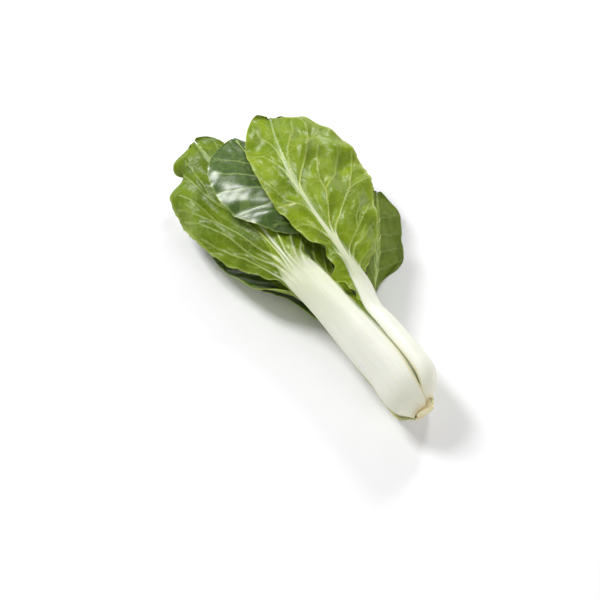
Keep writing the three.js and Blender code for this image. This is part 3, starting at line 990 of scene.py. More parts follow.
class Wiring:
    """A node tree that is written in short lines."""

    def __init__(self, tree: bpy.types.NodeTree) -> None:
        """Keeps the tree."""
        self.tree = tree

    def node(self, kind: str, **settings: object) -> bpy.types.Node:
        """Adds a node.

        Args:
            kind: The node's type.
            **settings: Its own settings.

        Returns:
            The node.
        """
        made = self.tree.nodes.new(kind)
        for name, value in settings.items():
            setattr(made, name, value)
        return made

    def feed(self, socket: Socket, value: Value) -> None:
        """Links an output to a socket, or sets the socket's own value.

        Args:
            socket: The socket that is fed.
            value: An output, a number, or a colour.
        """
        if isinstance(value, Socket):
            self.tree.links.new(value, socket)
        elif isinstance(value, tuple) and len(value) == 3 and socket.type == "RGBA":
            socket.default_value = (*value, 1.0)
        else:
            socket.default_value = value

    def math(self, operation: str, a: Value, b: Value, clamp: bool = False) -> Socket:
        """Works out a sum of two numbers.

        Args:
            operation: The sum.
            a: The first number.
            b: The second number.
            clamp: Whether the result is kept between 0 and 1.

        Returns:
            The result.
        """
        made = self.node("ShaderNodeMath", operation=operation, use_clamp=clamp)
        self.feed(made.inputs[0], a)
        self.feed(made.inputs[1], b)
        return made.outputs[0]

    def scaled(self, a: Value, by: Value) -> Socket:
        """One number times another."""
        return self.math("MULTIPLY", a, by)

    def mix(self, factor: Value, a: Value, b: Value) -> Socket:
        """Mixes two colours.

        Args:
            factor: Share of the second colour.
            a: The first colour.
            b: The second colour.

        Returns:
            The mixed colour.
        """
        made = self.node("ShaderNodeMix", data_type="RGBA")
        self.feed(made.inputs[0], factor)
        self.feed(made.inputs[6], a)
        self.feed(made.inputs[7], b)
        return made.outputs[2]

    def span(
        self, value: Value, low: float, high: float, to: tuple[float, float] = (0.0, 1.0)
    ) -> Socket:
        """Changes smoothly from one number to another as a value goes from low to high.

        Args:
            value: The value.
            low: Where the change starts.
            high: Where it ends.
            to: The numbers at its start and its end.

        Returns:
            The changed value.
        """
        made = self.node("ShaderNodeMapRange", interpolation_type="SMOOTHSTEP")
        self.feed(made.inputs["Value"], value)
        for name, number in zip(("From Min", "From Max", "To Min", "To Max"), (low, high, *to)):
            made.inputs[name].default_value = number
        return made.outputs["Result"]

    def noise(self, vector: Value, scale: float, detail: float = 2.0) -> Socket:
        """Makes noise between 0 and 1.

        Args:
            vector: The coordinates that it is laid out on.
            scale: How fine it is.
            detail: How many finer layers it has.

        Returns:
            The noise.
        """
        made = self.node("ShaderNodeTexNoise")
        self.feed(made.inputs["Vector"], vector)
        made.inputs["Scale"].default_value = scale
        made.inputs["Detail"].default_value = detail
        return made.outputs["Fac"]

    def attribute(self, name: str) -> Socket:
        """One of a piece's own values."""
        return self.node("ShaderNodeAttribute", attribute_name=name).outputs["Fac"]

    def leaf_plane(self) -> Socket:
        """Coordinates in the plane of the leaf, in units of 100 mm."""
        return self.node("ShaderNodeUVMap", uv_map="leaf").outputs["UV"]

    def stretched(self, vector: Value, scale: Triple) -> Socket:
        """Stretches coordinates.

        Args:
            vector: The coordinates.
            scale: How much each is multiplied by.

        Returns:
            The stretched coordinates.
        """
        made = self.node("ShaderNodeMapping")
        self.feed(made.inputs["Vector"], vector)
        made.inputs["Scale"].default_value = scale
        return made.outputs["Vector"]

    def bump(self, skin: bpy.types.Node, height: Value, distance: float, strength: float) -> None:
        """Gives a shader a relief, which is sunk where its distance is above 0 and raised below 0.

        Args:
            skin: The shader.
            height: Height of the relief.
            distance: Its depth, in metres.
            strength: How strongly it shows.
        """
        made = self.node("ShaderNodeBump", invert=distance > 0)
        made.inputs["Distance"].default_value = abs(distance)
        made.inputs["Strength"].default_value = strength
        self.feed(made.inputs["Height"], height)
        self.feed(skin.inputs["Normal"], made.outputs["Normal"])

    def tissue(
        self, group: bpy.types.NodeTree, finish: "LeafFinish", white: Value
    ) -> bpy.types.Node:
        """Places the shared group of the leaf's tissue.

        Args:
            group: The group.
            finish: The finish of the blade that gives its greens and its veins.
            white: Colour of the white that it fades to.

        Returns:
            The placed group.
        """
        placed = self.node("ShaderNodeGroup", node_tree=group)
        values = {"Deep": finish.deep, "Fresh": finish.fresh, "Vein": finish.vein}
        for label, value in (values | {"White": white, "Net": finish.net}).items():
            self.feed(placed.inputs[label], value)
        return placed


def new_material(name: str) -> tuple[bpy.types.Material, Wiring, bpy.types.Node]:
    """Starts a material.

    Args:
        name: Its name.

    Returns:
        The material, its wiring and its shader.
    """
    made = bpy.data.materials.new(name)
    made.use_nodes = True
    return made, Wiring(made.node_tree), made.node_tree.nodes["Principled BSDF"]


def set_inputs(node: bpy.types.Node, values: dict[str, Value]) -> None:
    """Sets the own values of a node's sockets."""
    for label, value in values.items():
        node.inputs[label].default_value = value


class TissueGroups:
    """Shader node groups that the leaf's materials share.

    The constants are the two kinds of socket, how fine and how wide the net's lines wander, the
    scale and the line width of its two layers, how far in a cell rises, and how fine the patches of
    the green are.
    """

    NUMBER = "NodeSocketFloat"
    COLOUR = "NodeSocketColor"
    WANDER_SCALE, WANDER = 16.0, (0.05, 0.05, 0.0)
    NET_LAYERS = ((13.0, 0.04), (36.0, 0.1))
    CELL_REACH = 0.45
    PATCH_SCALE = 5.0

    @staticmethod
    def _new(
        name: str, inputs: dict[str, str], outputs: dict[str, str]
    ) -> tuple[Wiring, bpy.types.Node, bpy.types.Node]:
        """Starts an empty group.

        Args:
            name: Its name.
            inputs: Its inputs with their kinds.
            outputs: Its outputs with their kinds.

        Returns:
            Its wiring, its input node and its output node.
        """
        tree = bpy.data.node_groups.new(name, "ShaderNodeTree")
        for way, sockets in (("INPUT", inputs), ("OUTPUT", outputs)):
            for label, kind in sockets.items():
                tree.interface.new_socket(label, in_out=way, socket_type=kind)
        wiring = Wiring(tree)
        return wiring, wiring.node("NodeGroupInput"), wiring.node("NodeGroupOutput")

    @classmethod
    def net(cls) -> bpy.types.NodeTree:
        """Makes the fine net of small veins, in a coarse and a fine layer.

        Returns:
            The group: a mask of the net's lines, and the height of the cells between them.
        """
        w, _, out = cls._new("vein net", {}, {"Lines": cls.NUMBER, "Cells": cls.NUMBER})
        plane = w.leaf_plane()
        wander = w.node("ShaderNodeTexNoise")
        w.feed(wander.inputs["Vector"], plane)
        wander.inputs["Scale"].default_value = cls.WANDER_SCALE
        moved = w.node("ShaderNodeVectorMath", operation="MULTIPLY_ADD")
        w.feed(moved.inputs[0], wander.outputs["Color"])
        moved.inputs[1].default_value = cls.WANDER
        w.feed(moved.inputs[2], plane)
        lines, cells = [], []
        for scale, width in cls.NET_LAYERS:
            cell = w.node("ShaderNodeTexVoronoi", feature="DISTANCE_TO_EDGE")
            w.feed(cell.inputs["Vector"], moved.outputs[0])
            cell.inputs["Scale"].default_value = scale
            lines.append(w.span(cell.outputs["Distance"], 0.0, width, (1.0, 0.0)))
            cells.append(w.span(cell.outputs["Distance"], 0.0, cls.CELL_REACH))
        w.feed(out.inputs["Lines"], w.math("MAXIMUM", lines[0], w.scaled(lines[1], 0.35)))
        height = w.math("ADD", w.scaled(cells[0], 0.7), w.scaled(cells[1], 0.3))
        w.feed(out.inputs["Cells"], height)
        return w.tree

    @classmethod
    def lamina(cls, net: bpy.types.NodeTree) -> bpy.types.NodeTree:
        """Makes the green of a blade with its veins, which fades to white where the piece says so.

        Args:
            net: The group of the fine net.

        Returns:
            The group: the colour, the height of the net's cells, and how green the place is.
        """
        w, given, out = cls._new(
            "leaf tissue",
            {
                "Deep": cls.COLOUR,
                "Fresh": cls.COLOUR,
                "Vein": cls.COLOUR,
                "White": cls.COLOUR,
                "Net": cls.NUMBER,
            },
            {"Color": cls.COLOUR, "Height": cls.NUMBER, "Green": cls.NUMBER},
        )
        web = w.node("ShaderNodeGroup", node_tree=net)
        patches = w.span(w.noise(w.leaf_plane(), cls.PATCH_SCALE, 3.0), 0.3, 0.7)
        own = w.scaled(w.attribute("tone"), 0.7)
        tone = w.math("ADD", w.scaled(patches, 0.5), own, clamp=True)
        green = w.mix(tone, given.outputs["Deep"], given.outputs["Fresh"])
        shown = w.scaled(web.outputs["Lines"], given.outputs["Net"])
        lined = w.mix(shown, green, given.outputs["Vein"])
        veined = w.mix(w.attribute("vein"), lined, given.outputs["Vein"])
        pale = w.attribute("pale")
        w.feed(out.inputs["Color"], w.mix(pale, veined, given.outputs["White"]))
        w.feed(out.inputs["Green"], w.math("SUBTRACT", 1.0, pale, clamp=True))
        w.feed(out.inputs["Height"], web.outputs["Cells"])
        return w.tree


@dataclass(frozen=True)
class LeafFinish:
    """Finish of one side of a blade.

    The constants are how fine the change of its roughness is, how rough the coat is, and the colour
    of the light that comes through with its share.

    Args:
        name: Name of the material.
        deep: The darker green.
        fresh: The lighter green.
        vein: Colour of the veins.
        net: How much the fine net shows in colour.
        rough: Roughness.
        relief: Depth of the net in the surface, in metres; above 0 where its cells are sunk.
        glow: How much light comes through the blade.
        shine: Strength of its own reflection.
        coat: Weight of the waxy coat.
    """

    name: str
    deep: Colour
    fresh: Colour
    vein: Colour
    net: float
    rough: float
    relief: float
    glow: float
    shine: float = 0.3
    coat: float = 0.0

    MOTTLE_SCALE: ClassVar[float] = 22.0
    COAT_ROUGHNESS: ClassVar[float] = 0.31
    THROUGH: ClassVar[Colour] = (0.42, 0.56, 0.03)
    THROUGH_SHARE: ClassVar[float] = 0.65

    def build(self, tissue: bpy.types.NodeTree, white: Colour) -> bpy.types.Material:
        """Makes the material.

        Args:
            tissue: The shared group of the leaf's tissue.
            white: Colour of the stalk's white where it runs into the blade.

        Returns:
            The material.
        """
        made, w, skin = new_material(self.name)
        group = w.tissue(tissue, self, white)
        colour = group.outputs["Color"]
        w.feed(skin.inputs["Base Color"], colour)
        w.bump(skin, group.outputs["Height"], self.relief, 1.0)
        mottle = w.noise(w.leaf_plane(), self.MOTTLE_SCALE)
        rough = w.span(mottle, 0.25, 0.75, (self.rough - 0.06, self.rough + 0.08))
        w.feed(skin.inputs["Roughness"], rough)
        own = {"Specular IOR Level": self.shine, "Coat Weight": self.coat}
        set_inputs(skin, own | {"Coat Roughness": self.COAT_ROUGHNESS})
        through = w.node("ShaderNodeBsdfTranslucent")
        w.feed(through.inputs["Color"], w.mix(self.THROUGH_SHARE, colour, self.THROUGH))
        both = w.node("ShaderNodeMixShader")
        both.inputs["Fac"].default_value = self.glow
        w.feed(both.inputs[1], skin.outputs[0])
        w.feed(both.inputs[2], through.outputs[0])
        w.feed(made.node_tree.nodes["Material Output"].inputs["Surface"], both.outputs[0])
        return made


@dataclass(frozen=True)
class StalkFinish:
    """Finish of a stalk: waxy white at the foot, then pale green, and green between the veins.

    Args:
        name: Name of the material.
        foot: Colour at the foot.
        white: Colour of the bulb.
        upper: Colour below the blade.
        edge: Tan of the dried side edges near the foot.
        blade: The blade's own finish, for the green parts beside the rib.
        rough: Roughness of the white.
    """

    name: str
    foot: Colour
    white: Colour
    upper: Colour
    edge: Colour
    blade: LeafFinish
    rough: float = 0.34

    def build(self, tissue: bpy.types.NodeTree) -> bpy.types.Material:
        """Makes the material.

        Args:
            tissue: The shared group of the leaf's tissue.

        Returns:
            The material.
        """
        made, w, skin = new_material(self.name)
        plane = w.leaf_plane()
        along = w.node("ShaderNodeSeparateXYZ")
        w.feed(along.inputs[0], plane)
        white = w.mix(w.span(along.outputs["Y"], 0.0, 0.3), self.foot, self.white)
        white = w.mix(w.span(along.outputs["Y"], 0.5, 1.25), white, self.upper)
        fibres = w.noise(w.stretched(plane, (42.0, 0.9, 1.0)), 1.0, 2.0)
        threads = w.span(fibres, 0.42, 0.68)
        white = w.mix(w.scaled(threads, 0.22), white, self.upper)
        white = w.mix(w.attribute("dry"), white, self.edge)
        group = w.tissue(tissue, self.blade, white)
        w.feed(skin.inputs["Base Color"], group.outputs["Color"])
        w.bump(skin, fibres, -0.0005, 0.5)
        rough = w.span(group.outputs["Green"], 0.0, 1.0, (self.rough, self.blade.rough))
        w.feed(skin.inputs["Roughness"], rough)
        flesh = {"Weight": 0.35, "Radius": (1.0, 1.0, 0.6), "Scale": 0.0025}
        set_inputs(skin, {f"Subsurface {label}": value for label, value in flesh.items()})
        return made


@dataclass(frozen=True)
class CutFinish:
    """Finish of the stem: tan, with a ring of vessels and a paler pith on the cut face.

    Args:
        name: Name of the material.
        pith: Colour of the middle.
        ring: Colour of the ring of vessels.
        dried: Colour of the rim, the specks and the side.
        grain: How fine the specks are.
    """

    name: str
    pith: Colour
    ring: Colour
    dried: Colour
    grain: float = 900.0

    def build(self) -> bpy.types.Material:
        """Makes the material; the piece gives the distance from its line as an attribute.

        Returns:
            The material.
        """
        made, w, skin = new_material(self.name)
        specks = w.noise(w.node("ShaderNodeTexCoord").outputs["Object"], self.grain, 4.0)
        shake = w.scaled(w.math("SUBTRACT", specks, 0.5), 0.16)
        shaken = w.math("ADD", w.attribute("radius"), shake)
        ring = w.scaled(w.span(shaken, 0.5, 0.62), w.span(shaken, 0.7, 0.82, (1.0, 0.0)))
        base = w.mix(ring, self.pith, self.ring)
        base = w.mix(w.span(shaken, 0.78, 0.98), base, self.dried)
        base = w.mix(w.scaled(w.span(specks, 0.5, 0.72), 0.5), base, self.dried)
        w.feed(skin.inputs["Base Color"], base)
        w.bump(skin, w.math("ADD", specks, w.scaled(ring, 0.5)), -0.0006, 1.0)
        w.feed(skin.inputs["Roughness"], w.span(specks, 0.3, 0.7, (0.5, 0.75)))
        flesh = {"Weight": 0.2, "Radius": (1.0, 0.8, 0.4), "Scale": 0.001}
        set_inputs(skin, {f"Subsurface {label}": value for label, value in flesh.items()})
        return made


def start_edit() -> None:
    """Deselects every object, so that an operator acts on nothing that it shouldn't."""
    if bpy.context.mode != "OBJECT":
        bpy.ops.object.mode_set(mode="OBJECT")
    bpy.ops.object.select_all(action="DESELECT")


def choose(piece: bpy.types.Object) -> None:
    """Selects one piece alone and makes it the active one.

    Args:
        piece: The piece.
    """
    start_edit()
    piece.select_set(True)
    bpy.context.view_layer.objects.active = piece


def coordinates(mesh: bpy.types.Mesh) -> np.ndarray:
    """Reads a mesh's vertices.

    Args:
        mesh: The mesh.

    Returns:
        Their places, one row each.
    """
    co = np.empty(len(mesh.vertices) * 3)
    mesh.vertices.foreach_get("co", co)
    return co.reshape(-1, 3)


def set_coordinates(mesh: bpy.types.Mesh, points: np.ndarray) -> None:
    """Moves a mesh's vertices."""
    mesh.vertices.foreach_set("co", points.astype(np.float32).ravel())
    mesh.update()


def set_attribute(mesh: bpy.types.Mesh, name: str, values: np.ndarray) -> None:
    """Gives a mesh one number of its own at each vertex."""
    attribute = mesh.attributes.new(name, "FLOAT", "POINT")
    attribute.data.foreach_set("value", values.astype(np.float32))


def hand_over(piece: bpy.types.Object, node: str, angle: float) -> bpy.types.Object:
    """Smooths a finished piece and puts it in the place of its CAD node.

    Args:
        piece: The piece.
        node: The CAD node that it stands for.
        angle: Angle in degrees past which an edge stays sharp.

    Returns:
        The piece.
    """
    choose(piece)
    bpy.ops.object.shade_smooth_by_angle(angle=math.radians(angle))
    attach(piece, BODY)
    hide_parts(node)
    LOG.info("%s: %d faces", piece.name, len(piece.data.polygons))
    return piece


class Sheet:
    """A piece that starts as a flat grid, is laid along a leaf, and gets two faces and a rim.

    The constant is the angle in degrees past which an edge stays sharp.
    """

    SHARP = 48.0

    def __init__(self, name: str, columns: int, rows: int, split: bool) -> None:
        """Adds the grid.

        Args:
            name: Name of the piece.
            columns: Faces across.
            rows: Faces along.
            split: Whether the middle column of faces goes, which leaves two halves.
        """
        start_edit()
        bpy.ops.mesh.primitive_grid_add(x_subdivisions=columns, y_subdivisions=rows, size=2.0)
        self.object = bpy.context.object
        self.object.name = self.object.data.name = name
        mesh = self.object.data
        flat = coordinates(mesh)
        self.u, self.v = flat[:, 0], (flat[:, 1] + 1) / 2
        self.count = len(flat)
        if split:
            bpy.ops.object.mode_set(mode="EDIT")
            bpy.ops.mesh.select_mode(type="FACE")
            bpy.ops.mesh.select_all(action="DESELECT")
            bpy.ops.object.mode_set(mode="OBJECT")
            for face in mesh.polygons:
                face.select = abs(face.center.x) < LEVEL
            bpy.ops.object.mode_set(mode="EDIT")
            bpy.ops.mesh.delete(type="ONLY_FACE")
            bpy.ops.object.mode_set(mode="OBJECT")

    def thicken(
        self,
        materials: list[bpy.types.Material],
        points: np.ndarray,
        depth: np.ndarray,
        ridge: np.ndarray,
        groove: np.ndarray,
    ) -> None:
        """Lays the grid along the back, adds the inner face and the rim, and raises the ridges.

        Args:
            materials: Of the back face and the inner face.
            points: The back face, in the head's own place.
            depth: Distance of the inner face from it.
            ridge: How far the back stands out.
            groove: How far the inner face stands out.
        """
        mesh = self.object.data
        for material in materials:
            mesh.materials.append(material)
        set_coordinates(mesh, points)
        normals = np.empty(self.count * 3)
        mesh.vertices.foreach_get("normal", normals)
        normals = normals.reshape(-1, 3)
        choose(self.object)
        shell = self.object.modifiers.new("two faces", "SOLIDIFY")
        shell.thickness = 1.0
        shell.offset = -1.0
        shell.material_offset = 1
        bpy.ops.object.modifier_apply(modifier=shell.name)
        co = coordinates(mesh)
        back, inner = co[: self.count], co[self.count :]
        inner = back + (inner - back) * depth[:, None]
        back = back + normals * ridge[:, None]
        inner = inner - normals * groove[:, None]
        lift = np.maximum(0, np.maximum(-back[:, 2], -inner[:, 2]))
        back[:, 2] += lift
        inner[:, 2] += lift
        set_coordinates(mesh, (np.vstack([back, inner]) + HEAD_SHIFT) * MM)

    def label(self, lateral: np.ndarray, along: np.ndarray, **values: np.ndarray) -> None:
        """Gives the piece its own values and its coordinates in the plane of the leaf.

        Args:
            lateral: Distances of the grid's points from the midline.
            along: Their distances along the leaf.
            **values: The piece's own values at them, which both faces share.
        """
        mesh = self.object.data
        for name, value in values.items():
            set_attribute(mesh, name, np.tile(value, 2))
        while mesh.uv_layers:
            mesh.uv_layers.remove(mesh.uv_layers[0])
        layer = mesh.uv_layers.new(name="leaf")
        corner = np.empty(len(mesh.loops), np.int32)
        mesh.loops.foreach_get("vertex_index", corner)
        corner %= self.count
        uv = np.stack([lateral[corner], along[corner]], axis=1) * UV_PER_MM
        layer.data.foreach_set("uv", uv.astype(np.float32).ravel())

    def finish(self, slot: str, node: str) -> bpy.types.Object:
        """Hands the piece over as the stand-in of a CAD node."""
        return hand_over(self.object, node, self.SHARP)


@dataclass
class Surface:
    """What is known about points of a leaf.

    Args:
        points: Places of the back face.
        vein: Mask of the veins.
        ridge: Height of the veins and the rib over the back.
        pale: How white the leaf is.
        tone: How light its green is.
        near: Distance from the nearest side vein or the rib.
    """

    points: np.ndarray
    vein: np.ndarray
    ridge: np.ndarray
    pale: np.ndarray
    tone: np.ndarray
    near: np.ndarray


@dataclass
class LeafPieces:
    """The two pieces of a leaf: its stalk with the rib, and its blade.

    Args:
        leaf: The leaf's sizes.
        stalk_rows: Faces along the stalk.
        stalk_end: Share of the leaf's length where the rib ends.
        stalk_crowd: How much closer the stalk's rows are at the foot, as a power.
        proud: How far the stalk's faces stand out over the blade's.
        flute: Height of the stalk's fine lengthwise ribs.
        blade_end: Share of the leaf's length where the blade ends.
        blade_crowd: How much closer the blade's rows are at the tip, as a power.
        blade_depth: Thickness of the blade beside the rib.
        margin_less: How much thinner its margin is.
        scallops: Small waves of the margin: their height as a share of the half width, and their
            turn in radians for each millimetre of the leaf.
    """

    leaf: Leaf
    stalk_rows: int = 230
    stalk_end: float = 0.985
    stalk_crowd: float = 1.05
    proud: float = 0.06
    flute: float = 0.07
    blade_end: float = 0.9995
    blade_crowd: float = 1.5
    blade_depth: float = 0.72
    margin_less: float = 0.3
    scallops: tuple[tuple[float, float], ...] = ((0.007, 0.55), (0.005, 1.3))
    form: LeafForm = field(init=False)
    net: VeinNet = field(init=False)

    def __post_init__(self) -> None:
        """Works out the leaf's form and its veins."""
        self.form = LeafForm(self.leaf)
        self.net = VeinNet(self.form)

    def rib(self, share: np.ndarray) -> np.ndarray:
        """Half width of the pale midrib, which is narrower than the solid's in the blade.

        Args:
            share: Shares of the leaf's length.

        Returns:
            The half width at each of them.
        """
        white = self.form.frames(share).white
        start, end = self.leaf.white_to
        slim = np.minimum(white, self.leaf.slim * (RIB_WIDTH * (1 - share) + RIB_TIP))
        return white + (slim - white) * smooth((share - start + 0.03) / (end - start))

    def edge_depth(self, share: np.ndarray) -> np.ndarray:
        """Thickness of the leaf beside the stalk.

        Args:
            share: Shares of the leaf's length.

        Returns:
            The thickness at each of them.
        """
        start = min(self.leaf.left.start, self.leaf.right.start)
        thinner = smooth((share - start + 0.03) / 0.1)
        return STALK_EDGE + (FINE_THICKNESS - STALK_EDGE) * thinner

    def surface(self, share: np.ndarray, lateral: np.ndarray, right: np.ndarray) -> Surface:
        """Works out the surface at points of the leaf.

        Args:
            share: Shares of the leaf's length.
            lateral: Distances from the midline, below 0 on the left.
            right: Which of them are in the right half.

        Returns:
            What is known about them.
        """
        form = self.form
        reach = np.abs(lateral)
        points = np.zeros((len(share), 3))
        mask, ridge, near, across = (np.zeros(len(share)) for _ in range(4))
        for side in Side:
            at = right == (side is Side.RIGHT)
            points[at] = form.sheet(share[at], lateral[at], side)
            y = (share * form.length)[at]
            mask[at], ridge[at], near[at] = self.net.field(lateral[at], y, side)
            across[at] = reach[at] / form.half_width(share[at], side)
        rib = self.rib(share)
        white = form.frames(share).white
        out = reach / rib
        start, end = self.leaf.white_to
        stalk = 1 - smooth((share - start) / (end - start))
        stalk = stalk * (1 - smooth((reach - white + 0.6) / 1.2))
        midrib = (1 - smooth((out - 0.55) / 0.6)) * (0.85 - 0.6 * smooth((share - end) / 0.26))
        fan = mask * (1 - smooth((share - end + 0.02) / 0.1))
        fan = fan * (1 - smooth((reach - white) / self.leaf.fan))
        pale = np.maximum(stalk, np.maximum(midrib, 0.85 * fan))
        bulge = 0.45 * np.minimum(rib, 2.6) * np.exp(-(out**2)) * smooth((share - start) / 0.15)
        ridge = np.maximum(ridge * smooth((share - start + 0.06) / 0.08), bulge)
        near = np.minimum(near, np.abs(reach - rib) + 0.5)
        vein = np.maximum(mask, 0.6 * smooth((across - 0.94) / 0.05))
        middle = smooth((0.35 - across) / 0.35)
        tone = np.clip(0.3 + 0.4 * smooth(near / 5.0) - 0.2 * middle, 0, 1)
        return Surface(points, vein, ridge, pale, tone, near)

    def build_stalk(self, finish: bpy.types.Material) -> bpy.types.Object:
        """Makes the stalk with the rib, from the foot to the tip of the leaf.

        Args:
            finish: Finish of the whole stalk.

        Returns:
            The piece.
        """
        name = self.leaf.name
        sheet = Sheet(name + "_stalk_skin", self.leaf.grid[2], self.stalk_rows, split=False)
        share = sheet.v**self.stalk_crowd * self.stalk_end
        y = share * self.form.length
        frames = self.form.frames(share)
        lateral = sheet.u * frames.white
        found = self.surface(share, lateral, lateral > 0)
        edge = self.edge_depth(share)
        crescent = edge + np.maximum(frames.depth - edge, 0) * (1 - sheet.u**2)
        flutes = self.flute * np.sin(lateral * 3.4 + 0.6 * np.sin(share * 18))
        flutes = flutes * smooth(share / 0.1) * (1 - smooth((share - 0.4) / 0.1))
        ridge = found.ridge + flutes + self.proud
        level = np.zeros(sheet.count)
        sheet.thicken([finish, finish], found.points, crescent + self.proud, ridge, level)
        low = 1 - smooth((y - 20) / 45)
        dry = smooth((np.abs(sheet.u) - 0.86) / 0.12) * low * 0.75
        dry = np.maximum(dry, 0.8 * (1 - smooth(y / 3.0)))
        sheet.label(lateral, y, vein=found.vein, pale=found.pale, tone=found.tone, dry=dry)
        return sheet.finish("stalk", name + "_stalk")

    def build_blade(self, under: bpy.types.Material, upper: bpy.types.Material) -> bpy.types.Object:
        """Makes the two halves of the blade.

        Args:
            under: Finish of the back of the leaf.
            upper: Finish of its inner face.

        Returns:
            The piece.
        """
        leaf, form = self.leaf, self.form
        half_columns, rows, _ = leaf.grid
        columns = 2 * half_columns + 1
        sheet = Sheet(leaf.name + "_blade_skin", columns, rows, split=True)
        right = sheet.u > 0
        start = np.where(right, leaf.right.start, leaf.left.start)
        share = start + (1 - start) * (1 - (1 - sheet.v) ** self.blade_crowd)
        share = np.minimum(share, self.blade_end)
        y = share * form.length
        out = np.clip((np.abs(sheet.u) * columns - 1) / (columns - 1), 0, 1)
        white = form.frames(share).white
        edge = np.where(
            right, form.half_width(share, Side.RIGHT), form.half_width(share, Side.LEFT)
        )
        (long, long_waves), (short, short_waves) = self.scallops
        scallop = 1 + long * np.sin(y * long_waves + leaf.seed)
        scallop = scallop + short * np.sin(y * short_waves + right)
        edge = np.maximum(edge * scallop, white + 0.05)
        inside = np.maximum(white - 0.5, 0.0)
        lateral = (inside + (edge - inside) * out) * np.where(right, 1, -1)
        found = self.surface(share, lateral, right)
        beside = np.exp(-(((np.abs(lateral) - white) / 3.0) ** 2))
        thin = self.blade_depth - self.margin_less * smooth(out)
        depth = thin + (self.edge_depth(share) - FINE_THICKNESS) * beside
        puff = leaf.puff * smooth(found.near / 7.0) * smooth(out / 0.1) * (1 - out**6)
        groove = puff - 0.4 * found.ridge
        sheet.thicken([under, upper], found.points, depth, found.ridge - puff, groove)
        sheet.label(lateral, y, vein=found.vein, pale=found.pale, tone=found.tone)
        return sheet.finish("blade", leaf.name + "_blade")


@dataclass
class StemPiece:
    """The short stem: a cut face with a ring of vessels, and the cone that the leaf feet stand on.

    Args:
        name: Name of the piece.
        sides: Faces round it.
        rings: Radii of the rings on the cut face, as shares of the face's.
        uneven: Waves of its outline: height as a share of the radius, how many, and their start.
        dome: How far the middle of the cut face is sunk.
        warp: How far the cut face is out of flat.
        sharp: Angle in degrees past which an edge stays sharp.
    """

    name: str = "stem_cut"
    sides: int = 72
    rings: tuple[float, ...] = (0.86, 0.68, 0.5, 0.25)
    uneven: tuple[tuple[float, int, int], ...] = ((0.035, 3, 1), (0.025, 7, 0))
    dome: float = 0.35
    warp: float = 0.12
    sharp: float = 40.0

    @staticmethod
    def _extrude(rise: float, scale: float, at: float) -> None:
        """Extrudes the selected ring.

        Args:
            rise: How far along the stem.
            scale: Its new size as a share of its old one.
            at: Where it is then, along the stem.
        """
        bpy.ops.mesh.extrude_edges_move(TRANSFORM_OT_translate={"value": (0, 0, rise)})
        bpy.ops.transform.resize(value=(scale, scale, 1.0), center_override=(0, 0, at))

    def _model(self) -> bpy.types.Object:
        """Extrudes a circle ring by ring up to the point, and insets its lower end ring by ring.

        Returns:
            The stem, standing on its cut face and still even.
        """
        start_edit()
        rows = [(float(along), float(radius)) for along, radius in STEM]
        face = rows[0][1]
        bpy.ops.mesh.primitive_circle_add(vertices=self.sides, radius=face, fill_type="NGON")
        stem = bpy.context.object
        stem.name = stem.data.name = self.name
        bpy.ops.object.mode_set(mode="EDIT")
        bpy.ops.mesh.select_mode(type="EDGE")
        bpy.ops.mesh.select_all(action="SELECT")
        bpy.ops.mesh.delete(type="ONLY_FACE")
        bpy.ops.mesh.select_all(action="SELECT")
        tops = rows[1:] + [(STEM_TIP, STEM_POINT)]
        for (below, wide), (along, radius) in zip(rows, tops):
            self._extrude(along - below, radius / wide, along)
        bpy.ops.mesh.fill()
        bpy.ops.mesh.select_all(action="DESELECT")
        bpy.ops.object.mode_set(mode="OBJECT")
        mesh = stem.data
        for edge in mesh.edges:
            edge.select = all(abs(mesh.vertices[i].co.z) < LEVEL for i in edge.vertices)
        bpy.ops.object.mode_set(mode="EDIT")
        size = face
        for ring in self.rings:
            self._extrude(0, ring * face / size, 0)
            size = ring * face
        bpy.ops.mesh.fill()
        bpy.ops.mesh.select_all(action="SELECT")
        bpy.ops.mesh.normals_make_consistent(inside=False)
        bpy.ops.object.mode_set(mode="OBJECT")
        return stem

    def build(self, finish: bpy.types.Material) -> bpy.types.Object:
        """Makes the stem uneven, lays it in its place and dresses it.

        Args:
            finish: Its finish.

        Returns:
            The piece.
        """
        stem = self._model()
        mesh = stem.data
        co = coordinates(mesh)
        radius = np.hypot(co[:, 0], co[:, 1])
        turn = np.arctan2(co[:, 1], co[:, 0])
        cut = co[:, 2] < LEVEL
        outline = np.ones(len(co))
        for height, count, phase in self.uneven:
            outline = outline + height * np.sin(count * turn + phase)
        co[:, :2] *= outline[:, None]
        share = radius / STEM[0, 1]
        co[cut, 2] += self.dome * (1 - share[cut]) + self.warp * np.sin(2 * turn[cut])
        set_attribute(mesh, "radius", np.where(cut, share, 1.0))
        line = stem_line()
        z = unit(line[1] - line[0])
        x = unit(np.cross([0, 0, 1], z))
        turned = co @ np.stack([x, np.cross(z, x), z])
        set_coordinates(mesh, (turned + line[0] + HEAD_SHIFT) * MM)
        mesh.materials.append(finish)
        return hand_over(stem, "stem", self.sharp)


@dataclass(frozen=True)
class Lamp:
    """One soft light.

    Args:
        name: Its name.
        way: Where it stands, as shares of the picture's right, of away from the camera, and of up.
        power: Its power in watts.
        size: Width of its face in metres.
    """

    name: str
    way: Triple
    power: float
    size: float


